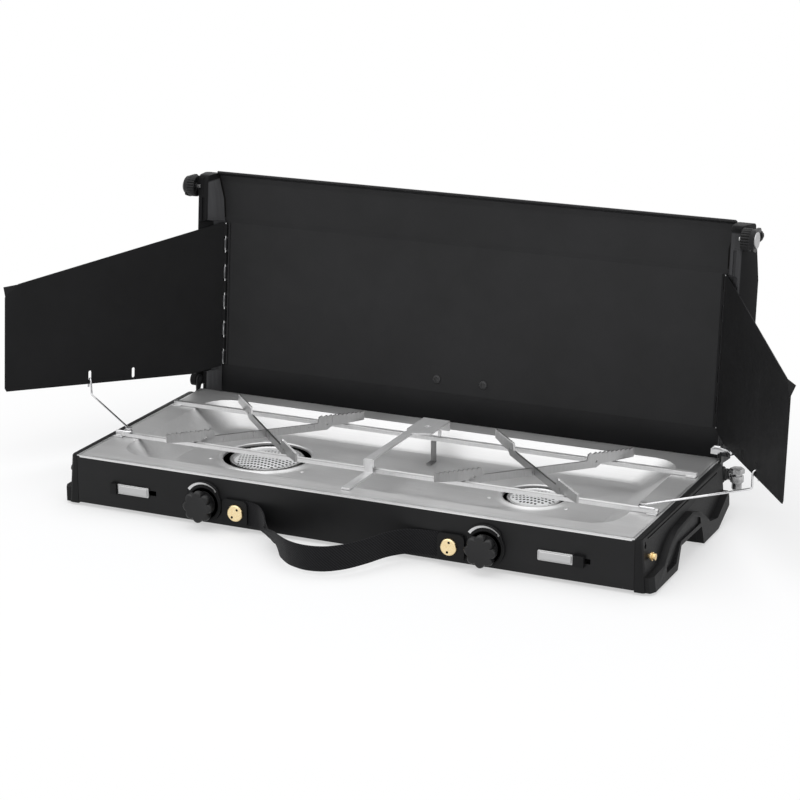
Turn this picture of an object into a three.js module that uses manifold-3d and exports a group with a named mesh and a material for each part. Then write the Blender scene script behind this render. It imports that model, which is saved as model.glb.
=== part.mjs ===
import * as THREE from 'three';
import Module from 'manifold-3d';
import { mergeVertices } from 'three/addons/utils/BufferGeometryUtils.js';

const wasm = await Module();
wasm.setup();

// Driving dimensions, in millimetres. X is across, +Y is the back, Z = 0 is the underside of the pan.
const bodyWidth = 600;
const bodyDepth = 256.7;
const bodyHeight = 50.5;
const sheet = 0.9;
const gap = 0.3;
const capTop = 7.2;
const capFlare = 11;
const capBand = 19;
const capLean = { left: 0, right: 7.6 };
const basinInsetX = 30;
const basinInsetY = 24;
const basinSlopeX = 34;
const basinSlopeY = 24;
const bayHeight = 28.5;
const basinCorner = 30;
const burnerX = 149.75;
const burnerOpening = { left: 46, right: 32 };
const burnerHead = { left: 39, right: 28 };
const frontRailY = 73 - bodyDepth / 2;
const catchX = 232.5;
const rearRailY = bodyDepth / 2 - 64.7;
const railWidth = 4;
const railHeight = 4.6;
const supportReach = 107.3;
const supportTop = 17.2;
const supportThickness = 2.2;
const toothPitch = 5;
const toothDepth = 1.7;
const knobX = 152;
const knobZ = 20.5;
const knobRadius = 17;
const anchorX = 115.3;
const anchorZ = 16.2;
const catchZ = 21.4;
const lidLean = 5.38;
const lidInset = 6;
const lidBehind = 23;
const lidBaseZ = 21.51;
const lidTop = 266;
const lidLip = 9;
const bandLow = 51.5;
const bandHigh = 210.5;
const pivotInset = 1.2;
const pivotZ = 60.7;
const pinRadius = 2.5;
const shieldHingeInset = 8.4;
const shieldHingeOut = 2.2;
const shieldLength = 257;
const shieldAngle = { left: 35, right: 31.5 };
const slotU = [108.9, 159.8];
const wireRadius = 1.15;
const stayInset = 18;
const strapWidth = 25.5;
const strapThick = 1.5;

const halfX = bodyWidth / 2;
const halfY = bodyDepth / 2;
const pivotY = halfY - pivotInset;
const lidBaseY = halfY + lidBehind;
const lidHalf = halfX - lidInset;
const shieldHingeX = lidHalf - shieldHingeInset;
const stayPivotX = halfX - stayInset;
const top = bodyHeight;
const basinDepth = bodyHeight - bayHeight;
const deg = Math.PI / 180;

const finishes = {
  blackSteel: { color: 0x26262a, roughness: 0.5, metalness: 0.35 },
  blackPlastic: { color: 0x1c1c1f, roughness: 0.55, metalness: 0 },
  stainless: { color: 0xc4c4c2, roughness: 0.3, metalness: 0.95 },
  chrome: { color: 0xd4d4d6, roughness: 0.15, metalness: 1 },
  brass: { color: 0xc8a25a, roughness: 0.32, metalness: 0.95 },
  webbing: { color: 0x141416, roughness: 0.9, metalness: 0 },
  rubber: { color: 0x101012, roughness: 0.85, metalness: 0 },
};

const group = new THREE.Group();
group.name = 'two_burner_stove';

// Solid helpers: every form is made as a three.js geometry and held as a closed solid.
function solid(geometry) {
  const plain = geometry.index ? geometry.toNonIndexed() : geometry;
  plain.deleteAttribute('normal');
  plain.deleteAttribute('uv');
  const merged = mergeVertices(plain, 1e-4);
  const mesh = new wasm.Mesh({
    numProp: 3,
    vertProperties: new Float32Array(merged.attributes.position.array),
    triVerts: new Uint32Array(merged.index.array),
  });
  mesh.merge();
  return new wasm.Manifold(mesh);
}

function add(name, body, finish) {
  const mesh = body.getMesh();
  const geometry = new THREE.BufferGeometry();
  geometry.setAttribute('position', new THREE.BufferAttribute(new Float32Array(mesh.vertProperties), 3));
  geometry.setIndex(new THREE.BufferAttribute(new Uint32Array(mesh.triVerts), 1));
  geometry.computeVertexNormals();
  const material = new THREE.MeshStandardMaterial(finishes[finish]);
  material.name = finish;
  const item = new THREE.Mesh(geometry, material);
  item.name = name;
  group.add(item);
}

function box(x0, x1, y0, y1, z0, z1) {
  const geometry = new THREE.BoxGeometry(x1 - x0, y1 - y0, z1 - z0);
  geometry.translate((x0 + x1) / 2, (y0 + y1) / 2, (z0 + z1) / 2);
  return solid(geometry);
}

function shapeOf(points) {
  return new THREE.Shape(points.map(([a, b]) => new THREE.Vector2(a, b)));
}

function extrude(points, depth) {
  const settings = { depth, bevelEnabled: false, curveSegments: 8 };
  return new THREE.ExtrudeGeometry(shapeOf(points), settings);
}

// A plan outline (x, y) raised from z0 to z1.
function plan(points, z0, z1) {
  const geometry = extrude(points, z1 - z0);
  geometry.translate(0, 0, z0);
  return solid(geometry);
}

// A side outline (y, z) running from x0 to x1.
function side(points, x0, x1) {
  const geometry = extrude(points, x1 - x0);
  const turn = new THREE.Matrix4().makeBasis(
    new THREE.Vector3(0, 1, 0),
    new THREE.Vector3(0, 0, 1),
    new THREE.Vector3(1, 0, 0),
  );
  geometry.applyMatrix4(turn);
  geometry.translate(x0, 0, 0);
  return solid(geometry);
}

// A front outline (x, z) running from y0 to y1.
function front(points, y0, y1) {
  const geometry = extrude(points.map(([x, z]) => [-x, z]), y1 - y0);
  const turn = new THREE.Matrix4().makeBasis(
    new THREE.Vector3(-1, 0, 0),
    new THREE.Vector3(0, 0, 1),
    new THREE.Vector3(0, 1, 0),
  );
  geometry.applyMatrix4(turn);
  geometry.translate(0, y0, 0);
  return solid(geometry);
}

function disc(axis, radius, start, end, a, b, segments = 32) {
  const geometry = new THREE.CylinderGeometry(radius, radius, end - start, segments);
  const middle = (start + end) / 2;
  if (axis === 'x') {
    geometry.rotateZ(-Math.PI / 2);
    geometry.translate(middle, a, b);
  } else if (axis === 'y') {
    geometry.translate(a, middle, b);
  } else {
    geometry.rotateX(Math.PI / 2);
    geometry.translate(a, b, middle);
  }
  return solid(geometry);
}

// A turned profile of (radius, height) pairs about the Z axis.
function turned(profile, segments = 40) {
  const geometry = new THREE.LatheGeometry(profile.map(([r, z]) => new THREE.Vector2(r, z)), segments);
  geometry.rotateX(Math.PI / 2);
  return solid(geometry);
}

// A surface through rings of equal point count, closed at both ends.
function skin(rings) {
  const positions = [];
  const push = (p) => positions.push(p[0], p[1], p[2]);
  const count = rings[0].length;
  for (let i = 0; i < rings.length - 1; i++) {
    for (let j = 0; j < count; j++) {
      const a = rings[i][j];
      const b = rings[i][(j + 1) % count];
      const c = rings[i + 1][(j + 1) % count];
      const d = rings[i + 1][j];
      [a, b, c, a, c, d].forEach(push);
    }
  }
  const first = rings[0];
  const last = rings[rings.length - 1];
  const flat = (ring) => {
    const normal = new THREE.Vector3();
    const origin = new THREE.Vector3(...ring[0]);
    for (let j = 1; j < count - 1; j++) {
      const u = new THREE.Vector3(...ring[j]).sub(origin);
      const w = new THREE.Vector3(...ring[j + 1]).sub(origin);
      normal.add(u.cross(w));
    }
    normal.normalize();
    const across = new THREE.Vector3(...ring[1]).sub(origin).normalize();
    const along = normal.clone().cross(across);
    const points = ring.map((p) => {
      const r = new THREE.Vector3(...p).sub(origin);
      return new THREE.Vector2(r.dot(across), r.dot(along));
    });
    return THREE.ShapeUtils.triangulateShape(points, []);
  };
  for (const [i, j, k] of flat(first)) {
    [first[i], first[k], first[j]].forEach(push);
  }
  for (const [i, j, k] of flat(last)) {
    [last[i], last[j], last[k]].forEach(push);
  }
  const geometry = new THREE.BufferGeometry();
  geometry.setAttribute('position', new THREE.Float32BufferAttribute(positions, 3));
  return solid(geometry);
}

function roundedRect(hx, hy, r, steps = 5, cx = 0, cy = 0) {
  const points = [];
  const corners = [[hx - r, hy - r, 0], [r - hx, hy - r, 1], [r - hx, r - hy, 2], [hx - r, r - hy, 3]];
  for (const [x, y, quarter] of corners) {
    for (let i = 0; i <= steps; i++) {
      const angle = (quarter + i / steps) * Math.PI / 2;
      points.push([cx + x + r * Math.cos(angle), cy + y + r * Math.sin(angle)]);
    }
  }
  return points;
}

// A round rod following points, with bends rounded to a given radius.
function rod(points, radius, bend, sides = 8) {
  const path = new THREE.CurvePath();
  const vectors = points.map((p) => new THREE.Vector3(...p));
  let start = vectors[0];
  for (let i = 1; i < vectors.length - 1; i++) {
    const before = vectors[i - 1].clone().sub(vectors[i]);
    const after = vectors[i + 1].clone().sub(vectors[i]);
    const reach = Math.min(bend, before.length() * 0.48, after.length() * 0.48);
    const enter = vectors[i].clone().addScaledVector(before.normalize(), reach);
    const leave = vectors[i].clone().addScaledVector(after.normalize(), reach);
    path.add(new THREE.LineCurve3(start, enter));
    path.add(new THREE.QuadraticBezierCurve3(enter, vectors[i], leave));
    start = leave;
  }
  path.add(new THREE.LineCurve3(start, vectors[vectors.length - 1]));
  const stations = [];
  path.curves.forEach((curve, index) => {
    const cuts = curve.isQuadraticBezierCurve3 ? 3 : 1;
    for (let i = index === 0 ? 0 : 1; i <= cuts; i++) {
      stations.push({ at: curve.getPoint(i / cuts), along: curve.getTangent(i / cuts) });
    }
  });
  let across = new THREE.Vector3(0.31, 0.17, 0.93);
  const rings = stations.map(({ at, along }) => {
    across = across.clone().addScaledVector(along, -across.dot(along)).normalize();
    const third = along.clone().cross(across);
    const ring = [];
    for (let j = 0; j < sides; j++) {
      const angle = j / sides * Math.PI * 2;
      const p = at.clone()
        .addScaledVector(across, radius * Math.cos(angle))
        .addScaledVector(third, radius * Math.sin(angle));
      ring.push([p.x, p.y, p.z]);
    }
    return ring;
  });
  return skin(rings);
}

function union(list) {
  return list.reduce((whole, piece) => whole.add(piece));
}

function mirrored(body) {
  return body.mirror([1, 0, 0]);
}

const pipeRadius = 3;
const pipeY = -halfY + 20 + gap + pipeRadius;
const pipeZ = 6.3;
const inletX = halfX - 10;
const inletY = halfY + 7;
const inletZ = 32.5;

// ---- Base pan: folded black steel with front, rear and side walls.
function makePan() {
  const wall = 1;
  let pan = box(-halfX, halfX, -halfY, halfY, 0, top - sheet - gap);
  pan = pan.subtract(box(-halfX + wall, halfX - wall, -halfY + wall, halfY - wall, wall, top));
  for (const sign of [-1, 1]) {
    pan = pan.subtract(disc('y', 5, -halfY - 2, -halfY + 3, sign * knobX, knobZ, 16));
    pan = pan.subtract(disc('y', 3.2, -halfY - 2, -halfY + 3, sign * anchorX, anchorZ, 16));
    const slotX = sign * catchX;
    pan = pan.subtract(box(slotX - 24.5, slotX + 24.5, -halfY - 2, -halfY + 3, catchZ - 2.6, catchZ + 2.6));
    for (let i = 0; i < 5; i++) {
      const x = sign * burnerX + (i - 2) * 18;
      pan = pan.subtract(plan(roundedRect(3.5, 26, 3, 2, x, 10), -1, 2));
    }
  }
  pan = pan.subtract(disc('y', pipeRadius + 0.4, halfY - 3, halfY + 2, inletX, inletZ, 16));
  return pan;
}
add('base_pan', makePan(), 'blackSteel');

// ---- Drip tray: flat rim, sloped basin walls, flat floor with a raised bead round each opening.
const floorZ = top - basinDepth;
function basinSolid(extra, zTop, zBottom) {
  const x0 = halfX - basinInsetX + extra;
  const y0 = halfY - basinInsetY + extra;
  const lip = 2.5;
  const ring = (inX, inY, r, z) => (
    roundedRect(x0 - inX, y0 - inY, Math.max(r, 4)).map(([x, y]) => [x, y, z])
  );
  return skin([
    ring(basinSlopeX + 1, basinSlopeY + 1, basinCorner - 10 + extra, zBottom),
    ring(basinSlopeX - lip * 2, basinSlopeY - lip * 2, basinCorner - 8 + extra, zBottom + lip * 0.8),
    ring(lip, lip, basinCorner + extra, zTop - lip * 0.9),
    ring(0, 0, basinCorner + 2 + extra, zTop),
  ]);
}
function bead(radius) {
  const low = floorZ - sheet;
  return turned([
    [radius, low], [radius + 8, low], [radius + 8, floorZ], [radius + 5.2, floorZ + 0.5],
    [radius + 3.2, floorZ + 2.2], [radius + 1.2, floorZ + 2.4], [radius, floorZ + 1.4], [radius, low],
  ], 36);
}
function makeTray() {
  let tray = box(-halfX, halfX, -halfY, halfY, top - sheet, top);
  tray = tray.add(basinSolid(sheet, top - 0.01, floorZ - sheet));
  tray = tray.subtract(basinSolid(0, top + 0.02, floorZ));
  for (const name of ['left', 'right']) {
    const x = name === 'left' ? -burnerX : burnerX;
    const radius = burnerOpening[name];
    tray = tray.add(bead(radius).translate([x, 0, 0]));
    tray = tray.subtract(disc('z', radius, floorZ - 5, floorZ + 5, x, 0, 36));
    for (const angle of [-155, -25]) {
      const dx = x + (radius + 13) * Math.cos(angle * deg);
      const dy = (radius + 13) * Math.sin(angle * deg);
      tray = tray.add(turned([[0, -0.3], [2.6, -0.3], [2.2, 0.5], [0, 0.9]], 8).translate([dx, dy, floorZ]));
    }
  }
  return tray;
}
add('drip_tray', makeTray(), 'stainless');

// ---- Burners: perforated-style head over a pressed cup whose mixing tube runs forward to a valve.
function makeHead(radius) {
  const z = floorZ;
  return turned([
    [0, z - 4.2], [radius - 3, z - 4.2], [radius, z - 3.4], [radius, z - 2], [radius * 0.86, z + 1.2],
    [radius * 0.62, z + 3.6], [radius * 0.3, z + 4.4], [0, z + 4.4],
  ], 32);
}
function makeCup(x, radius) {
  const z = floorZ - 4.5;
  const cup = turned([
    [0, z - 16], [radius * 0.45, z - 16], [radius * 0.62, z - 13], [radius - 3.5, z - 4],
    [radius - 2, z], [radius - 4, z], [radius - 5.5, z - 3.6], [radius * 0.58, z - 12], [0, z - 14],
  ], 28).translate([x, 0, 0]);
  const tube = disc('y', 6.5, -halfY + 28, -6, x, z - 9.5, 20);
  const bore = disc('y', 5.3, -halfY + 27, -halfY + 45, x, z - 9.5, 20);
  return cup.add(tube).subtract(bore);
}
function makeValve(x, outletX) {
  const y0 = -halfY + 4;
  const tubeZ = floorZ - 14;
  let valve = box(x - 9, x + 9, y0, y0 + 16, 5, knobZ + 7);
  valve = valve.add(disc('y', 2.9, -halfY - 17, y0 + 1, x, knobZ, 16));
  valve = valve.add(disc('y', 4.6, y0 + 15, -halfY + 32, outletX, tubeZ, 16));
  return valve;
}
for (const name of ['left', 'right']) {
  const x = name === 'left' ? -burnerX : burnerX;
  const knob = name === 'left' ? -knobX : knobX;
  add(`burner_head_${name}`, makeHead(burnerHead[name]).translate([x, 0, 0]), 'stainless');
  add(`burner_cup_${name}`, makeCup(x, burnerHead[name]), 'stainless');
  add(`gas_valve_${name}`, makeValve(knob, x), 'brass');
}

// ---- Gas supply: one pipe behind both valves, leaving at the right rear corner.
add('gas_pipe', rod([
  [-knobX - 12, pipeY, pipeZ], [inletX - 12, pipeY, pipeZ], [inletX, pipeY + 26, pipeZ + 4],
  [inletX, halfY - 50, inletZ - 8], [inletX, halfY - 26, inletZ], [inletX, halfY, inletZ],
], pipeRadius, 12, 10), 'chrome');
function makeInlet() {
  const bodyX = halfX + 16;
  let inlet = disc('y', 5.4, halfY + gap, inletY, inletX, inletZ, 20);
  inlet = inlet.add(disc('x', 5, inletX - 5.2, bodyX, inletY, inletZ, 20));
  inlet = inlet.add(disc('x', 6.4, halfX + 1, halfX + 7, inletY, inletZ, 6));
  inlet = inlet.add(disc('z', 6.9, inletZ - 9, inletZ + 5, bodyX, inletY, 24));
  inlet = inlet.add(disc('z', 7.7, inletZ + 4.5, inletZ + 8, bodyX, inletY, 6));
  inlet = inlet.add(disc('z', 5.2, inletZ - 15, inletZ - 8, bodyX, inletY, 20));
  inlet = inlet.add(disc('z', 6.1, inletZ - 13.5, inletZ - 11.5, bodyX, inletY, 20));
  return inlet.subtract(disc('z', 3, inletZ - 16, inletZ - 9, bodyX, inletY, 14));
}
add('gas_inlet', makeInlet(), 'chrome');

// ---- Moulded end caps of the base: flared side face, raised foot band, stud hole and keyhole.
const capRear = halfY - 15.7;
const capFront = -halfY - 0.2;
function makeCap(lean) {
  const x0 = halfX + gap;
  const upright = (y0, y1, z0, z1, out0, out1) => {
    const rows = [[z0, out0], [z1, out1]];
    const ring = ([z, out]) => [
      [x0, y0, z], [x0 + out - 3, y0, z], [x0 + out - 0.9, y0 + 0.9, z], [x0 + out, y0 + 3.5, z],
      [x0 + out, y1 - 2, z], [x0 + out - 2, y1, z], [x0, y1, z],
    ];
    return skin(rows.map(ring));
  };
  let cap = upright(capFront, capRear, top - 52, top - 0.8, capFlare, capTop - gap - 0.7);
  cap = cap.add(upright(capFront, capRear, top - 0.85, top + 0.2, capTop - gap - 0.7, capTop - gap - 1.6));
  const y = (v) => v - halfY;
  const z = (v) => v + top;
  const foot = [
    [y(2), z(-52)], [y(71), z(-52)], [y(87), z(-33)], [y(148), z(-34)], [y(150), z(-52)], [y(196), z(-52)],
    [y(234), z(-39.5)], [y(238), z(-26)], [y(232), z(-28)], [y(196), z(-41)], [y(174), z(-37)],
    [y(152), z(-20.8)], [y(127), z(-12.7)], [y(80), z(-15.2)], [y(58), z(-22.6)], [y(37), z(-36)],
    [y(2), z(-37)],
  ];
  const band = side(foot, x0 + 3, halfX + capBand);
  const trim = skin([
    [[x0, capFront, z(-53.5)], [x0 + 14, capFront, z(-53.5)], [halfX + capBand, capFront + 9, z(-53.5)],
      [halfX + capBand, capRear - 5, z(-53.5)], [x0 + 14, capRear, z(-53.5)], [x0, capRear, z(-53.5)]],
    [[x0, capFront, z(9.5)], [x0 + 8, capFront, z(9.5)], [halfX + capBand - lean, capFront + 9, z(9.5)],
      [halfX + capBand - lean, capRear - 5, z(9.5)], [x0 + 8, capRear, z(9.5)], [x0, capRear, z(9.5)]],
  ]);
  cap = cap.subtract(side([
    [y(90), z(-34.2)], [y(148), z(-34.2)], [y(150), z(-56)], [y(72), z(-56)],
  ], x0 - 1, x0 + 40));
  const heel = [[y(197), z(-52.6)], [y(244), z(-37)], [y(244), z(-58)], [y(197), z(-58)]];
  cap = cap.subtract(side(heel, x0 - 1, x0 + 40));
  cap = cap.add(band.intersect(trim));
  const arch = side([
    [y(42), z(-40)], [y(62), z(-27)], [y(84), z(-19.5)], [y(127), z(-17)], [y(146), z(-24)],
    [y(146), z(-30)], [y(86), z(-29)], [y(68), z(-45)], [y(42), z(-45)],
  ], x0 + 13.5, x0 + 40);
  cap = cap.subtract(arch);
  cap = cap.subtract(side([
    [y(16), z(-2.6)], [y(222), z(-2.6)], [y(222), z(-4.2)], [y(16), z(-4.2)],
  ], x0 + 5.6, x0 + 14));
  const hollow = [[y(8), z(-46)], [y(66), z(-46)], [y(80), z(-29)], [y(150), z(-29)], [y(158), z(-46)],
    [y(190), z(-46)], [y(230), z(-34)], [y(230), z(-5)], [y(8), z(-5)]];
  cap = cap.subtract(side(hollow, x0 - 1, x0 + 2.6));
  cap = cap.subtract(disc('x', 2.3, x0 - 1, x0 + 16, y(15), z(-20), 16));
  cap = cap.subtract(disc('x', 2.4, x0 - 1, x0 + 16, y(9), z(-9), 14));
  cap = cap.subtract(box(x0 - 1, x0 + 16, y(8), y(10), z(-8), z(-4.4)));
  return cap;
}
add('base_cap_right', makeCap(capLean.right), 'blackPlastic');
add('base_cap_left', mirrored(makeCap(capLean.left)), 'blackPlastic');

function makeStud() {
  const y = 15 - halfY;
  const z = top - 20;
  let stud = disc('x', 2.2, halfX + 1.3, halfX + 12, y, z, 16);
  stud = stud.add(disc('x', 4.2, halfX + 10.8, halfX + 12.6, y, z, 16));
  return stud.add(disc('x', 3.2, halfX + 12.5, halfX + 15.5, y, z, 16));
}
const stud = makeStud();
add('latch_stud_right', stud, 'brass');
add('latch_stud_left', mirrored(stud), 'brass');

const footTop = top - 52 - gap;
for (const [name, y] of [['front', 40], ['rear', 176]]) {
  const pad = plan(roundedRect(5, 12, 4, 4, halfX + 10, y - halfY), footTop - 2.2, footTop);
  add(`foot_${name}_right`, pad, 'rubber');
  add(`foot_${name}_left`, mirrored(pad), 'rubber');
}

// ---- Hinge ears at the rear corners carry the lid pins.
function makeEar() {
  const x0 = halfX + gap;
  const outline = [];
  for (let i = 0; i <= 10; i++) {
    const angle = Math.PI - i / 10 * Math.PI;
    outline.push([pivotY + 6 * Math.cos(angle), pivotZ + 6 * Math.sin(angle)]);
  }
  outline.push([halfY - 0.6, 50], [halfY - 0.6, 14], [halfY - 3.6, 11]);
  outline.push([capRear + 3.6, 11], [capRear + 0.6, 14]);
  outline.push([capRear + 0.6, 46], [pivotY - 6, 50]);
  const ear = side(outline, x0, x0 + 2);
  return ear.subtract(disc('x', pinRadius + 0.08, x0 - 1, x0 + 3, pivotY, pivotZ, 24));
}
const ear = makeEar();
add('hinge_ear_right', ear, 'blackSteel');
add('hinge_ear_left', mirrored(ear), 'blackSteel');

// ---- Grate: two rails in the rim, a centre bridge and two crossed, serrated pot supports.
function makeRail(y, ends) {
  const z0 = top + gap;
  const z1 = z0 + railHeight;
  const half = railWidth / 2;
  let rail = side([
    [y - half, z0], [y + half, z0 + 0.4], [y + half, z1], [y + half - 1, z1 + 0.3], [y - half, z1 - 0.5],
  ], -halfX + ends, halfX - ends);
  for (const sign of [-1, 1]) {
    const x = sign * (halfX - ends - 5);
    rail = rail.add(box(x - 5, x + 5, y - 6, y + 4, z0, z0 + 1.2));
  }
  return rail;
}
// The front rail carries a headed rivet at each end for the wire stays.
function makeFrontRail() {
  let rail = makeRail(frontRailY, 3);
  const z0 = top + gap + railHeight - 1;
  for (const sign of [-1, 1]) {
    rail = rail.add(disc('z', 1.9, z0, z0 + 5.4, sign * stayPivotX, frontRailY, 16));
    rail = rail.add(disc('z', 3.4, z0 + 5.2, z0 + 6.2, sign * stayPivotX, frontRailY, 16));
  }
  return rail;
}
add('front_rail', makeFrontRail(), 'stainless');
add('rear_rail', makeRail(rearRailY, 4), 'stainless');

const supportTurn = 46;
const legInner = 56;
const supportSeat = -frontRailY / Math.sin(supportTurn * deg) - 0.95;
function supportOutline() {
  const low = top + gap + railHeight + gap + 0.3;
  const crest = top + supportTop;
  const seat0 = supportSeat - 4;
  const seat1 = supportSeat + 4;
  const points = [[-supportReach, crest - 9.6], [-seat1, low], [-seat0, low], [6 - seat0, top + 1.4]];
  points.push([seat0 - 6, top + 1.4], [seat0, low], [seat1, low]);
  points.push([supportReach, crest - 9.6], [supportReach, crest - 0.6]);
  const teeth = Math.floor((supportReach - legInner - 5.3) / toothPitch);
  for (let i = 0; i < teeth; i++) {
    const t = supportReach - 0.8 - i * toothPitch;
    points.push([t, crest], [t - toothPitch * 0.8, crest - toothDepth]);
  }
  points.push([legInner + 4.5, crest], [legInner + 1.5, crest - 1.5], [legInner, top + 9.2]);
  points.push([-legInner, top + 9.2], [-legInner - 1.5, crest - 1.5], [-legInner - 4.5, crest]);
  for (let i = teeth - 1; i >= 0; i--) {
    const t = supportReach - 0.8 - i * toothPitch;
    points.push([-(t - toothPitch * 0.8), crest - toothDepth], [-t, crest]);
  }
  points.push([-supportReach, crest - 0.6]);
  return points;
}
function makeSupport(x, angle, notchFromTop) {
  const thick = supportThickness / 2;
  let strip = front(supportOutline(), -thick, thick);
  const half = thick + gap;
  const middle = top + 5.3;
  const notch = notchFromTop
    ? box(-half, half, -5, 5, middle - gap / 2, top + 30)
    : box(-half, half, -5, 5, top - 10, middle + gap / 2);
  strip = strip.subtract(notch);
  strip = strip.subtract(disc('y', 1.4, -5, 5, legInner + 10, top + 8, 10));
  strip = strip.subtract(disc('y', 1.4, -5, 5, -legInner - 10, top + 8, 10));
  return strip.rotate([0, 0, angle]).translate([x, 0, 0]);
}
for (const [name, x] of [['left', -burnerX], ['right', burnerX]]) {
  add(`pot_support_${name}_a`, makeSupport(x, supportTurn, true), 'stainless');
  add(`pot_support_${name}_b`, makeSupport(x, 180 - supportTurn - 0.2, false), 'stainless');
}

function makeBridge() {
  const y = (v) => v - halfY;
  const r = (v) => rearRailY + v;
  const z0 = top + gap;
  const high = top + 16;
  const seat = top + gap + railHeight + gap * 2;
  const strip = [
    [y(14), z0], [y(68.2), z0], [y(69.2), high - 2], [r(-26), high - 2], [r(-26), high], [y(66.4), high],
    [y(66.2), z0 + 2], [y(14), z0 + 2],
  ];
  let bridge = side(strip, -7.5, 1.5);
  const plateOutline = [
    [-7.5, r(-32)], [1.5, r(-32)], [8, r(-29)], [20, r(-26)], [20, r(22)], [-10, r(22)], [-10, r(-20)],
    [-7.5, r(-24)],
  ];
  bridge = bridge.add(plan(plateOutline, high - 2, high));
  bridge = bridge.subtract(disc('z', 3, high - 5, high + 3, 7, r(-5), 20));
  bridge = bridge.add(box(9, 20, r(20.4), r(22), high - 11, high - 1));
  for (const x of [-8.5, 17]) {
    bridge = bridge.add(box(x, x + 2.4, rearRailY - 1.8, rearRailY + 1.8, seat, high - 1));
  }
  for (const x of [-7.5, 1.5]) {
    bridge = bridge.add(box(x - 1.2, x + 1.2, y(66.5), y(70), high - 8, high - 1));
  }
  return bridge;
}
add('centre_bridge', makeBridge(), 'stainless');

// ---- Front controls.
const faceY = -halfY;
function makeKnob(x) {
  const outline = [];
  const steps = 48;
  for (let i = 0; i < steps; i++) {
    const angle = i / steps * Math.PI * 2;
    const wave = Math.max(0, Math.cos(angle * 8));
    outline.push([Math.cos(angle) * (knobRadius - 1.9 * wave), Math.sin(angle) * (knobRadius - 1.9 * wave)]);
  }
  const level = (scale, y) => outline.map(([a, b]) => [x + a * scale, y, knobZ + b * scale]);
  let knob = skin([
    level(1.02, faceY - 3.6), level(1, faceY - 15), level(0.96, faceY - 17.4), level(0.86, faceY - 18.6),
  ]);
  knob = knob.subtract(disc('y', 3.05, faceY - 17.5, faceY - 3, x, knobZ, 16));
  const wedge = box(x - 0.8, x + 0.8, faceY - 19.4, faceY - 17.8, knobZ + 3, knobZ + knobRadius - 5);
  return knob.add(wedge);
}
function makeBezel(x) {
  const ring = disc('y', 19.6, faceY - 2.6, faceY - gap, x, knobZ, 36);
  const face = disc('y', 18.4, faceY - 3.2, faceY - 2.5, x, knobZ, 36);
  const bore = disc('y', 3.3, faceY - 6, faceY + 1, x, knobZ, 12);
  return ring.add(face).subtract(bore);
}
function makeAnchor(sign) {
  const outline = roundedRect(14, 13.6, 5, 4, sign * (anchorX + 1.5), anchorZ - 0.6);
  const lower = front(outline, faceY - 2.1 - strapThick - gap * 2, faceY - strapThick - gap * 2);
  const bore = disc('y', 3.2, faceY - 9, faceY + 1, sign * anchorX, anchorZ, 20);
  const cut = disc('y', 20, faceY - 9, faceY + 1, sign * knobX, knobZ, 36);
  return lower.subtract(bore).subtract(cut);
}
function makeAnchorScrew(sign) {
  const angle = sign < 0 ? 45 : 90;
  const y = faceY - strapThick - 2.1 - gap * 3;
  let screw = disc('y', 8.6, y - 2.6, y, sign * anchorX, anchorZ, 32);
  screw = screw.add(disc('y', 2.9, y - 0.5, faceY + 6, sign * anchorX, anchorZ, 16));
  for (const side2 of [-1, 1]) {
    const dx = side2 * 5 * Math.cos(angle * deg);
    const dz = side2 * 5 * Math.sin(angle * deg);
    screw = screw.subtract(disc('y', 1.1, y - 4, y - 1, sign * anchorX + dx, anchorZ + dz, 10));
  }
  return screw;
}
for (const [name, sign] of [['left', -1], ['right', 1]]) {
  add(`knob_${name}`, makeKnob(sign * knobX), 'blackPlastic');
  add(`knob_bezel_${name}`, makeBezel(sign * knobX), 'blackPlastic');
  add(`strap_anchor_${name}`, makeAnchor(sign), 'blackPlastic');
  add(`anchor_screw_${name}`, makeAnchorScrew(sign), 'brass');
}

// Sliding front catches: a bright plate and a black finger block joined through the panel slot.
function makeCatch(plate0, plate1, block0, block1) {
  const z0 = catchZ - 5.2;
  const z1 = catchZ + 5.2;
  const y0 = faceY - 3.2;
  const base = front([[plate0, z0], [plate1, z0], [plate1, z1], [plate0, z1]], faceY - 2.2, faceY - gap);
  const raised = [
    [plate0 + 1.4, z0 + 1.2], [plate1 - 1.4, z0 + 1.2], [plate1 - 1.4, z1 - 1.2], [plate0 + 1.4, z1 - 1.2],
  ];
  const blockMin = Math.min(block0, block1);
  const blockMax = Math.max(block0, block1);
  const plate = base.add(front(raised, y0, faceY - 2.1));
  const middle = (plate0 + plate1) / 2;
  const neck = box(middle - 6, middle + 6, faceY - 1, faceY + 4, catchZ - 2.2, catchZ + 2.2);
  const keeper = box(middle - 10, middle + 10, faceY + 1.3, faceY + 3, catchZ - 5, catchZ + 5);
  const block = box(blockMin, blockMax, faceY - 4.4, faceY - gap, z0 - 0.4, z1 + 0.4);
  return { plate: plate.add(neck).add(keeper), block };
}
const catches = {
  left: makeCatch(-catchX - 19.9, -catchX + 16.7, -catchX - 26.7, -catchX - 20.2),
  right: makeCatch(catchX - 27.8, catchX + 7.9, catchX + 8.2, catchX + 19.1),
};
for (const name of ['left', 'right']) {
  add(`catch_plate_${name}`, catches[name].plate, 'stainless');
  add(`catch_grip_${name}`, catches[name].block, 'blackPlastic');
}

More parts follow.
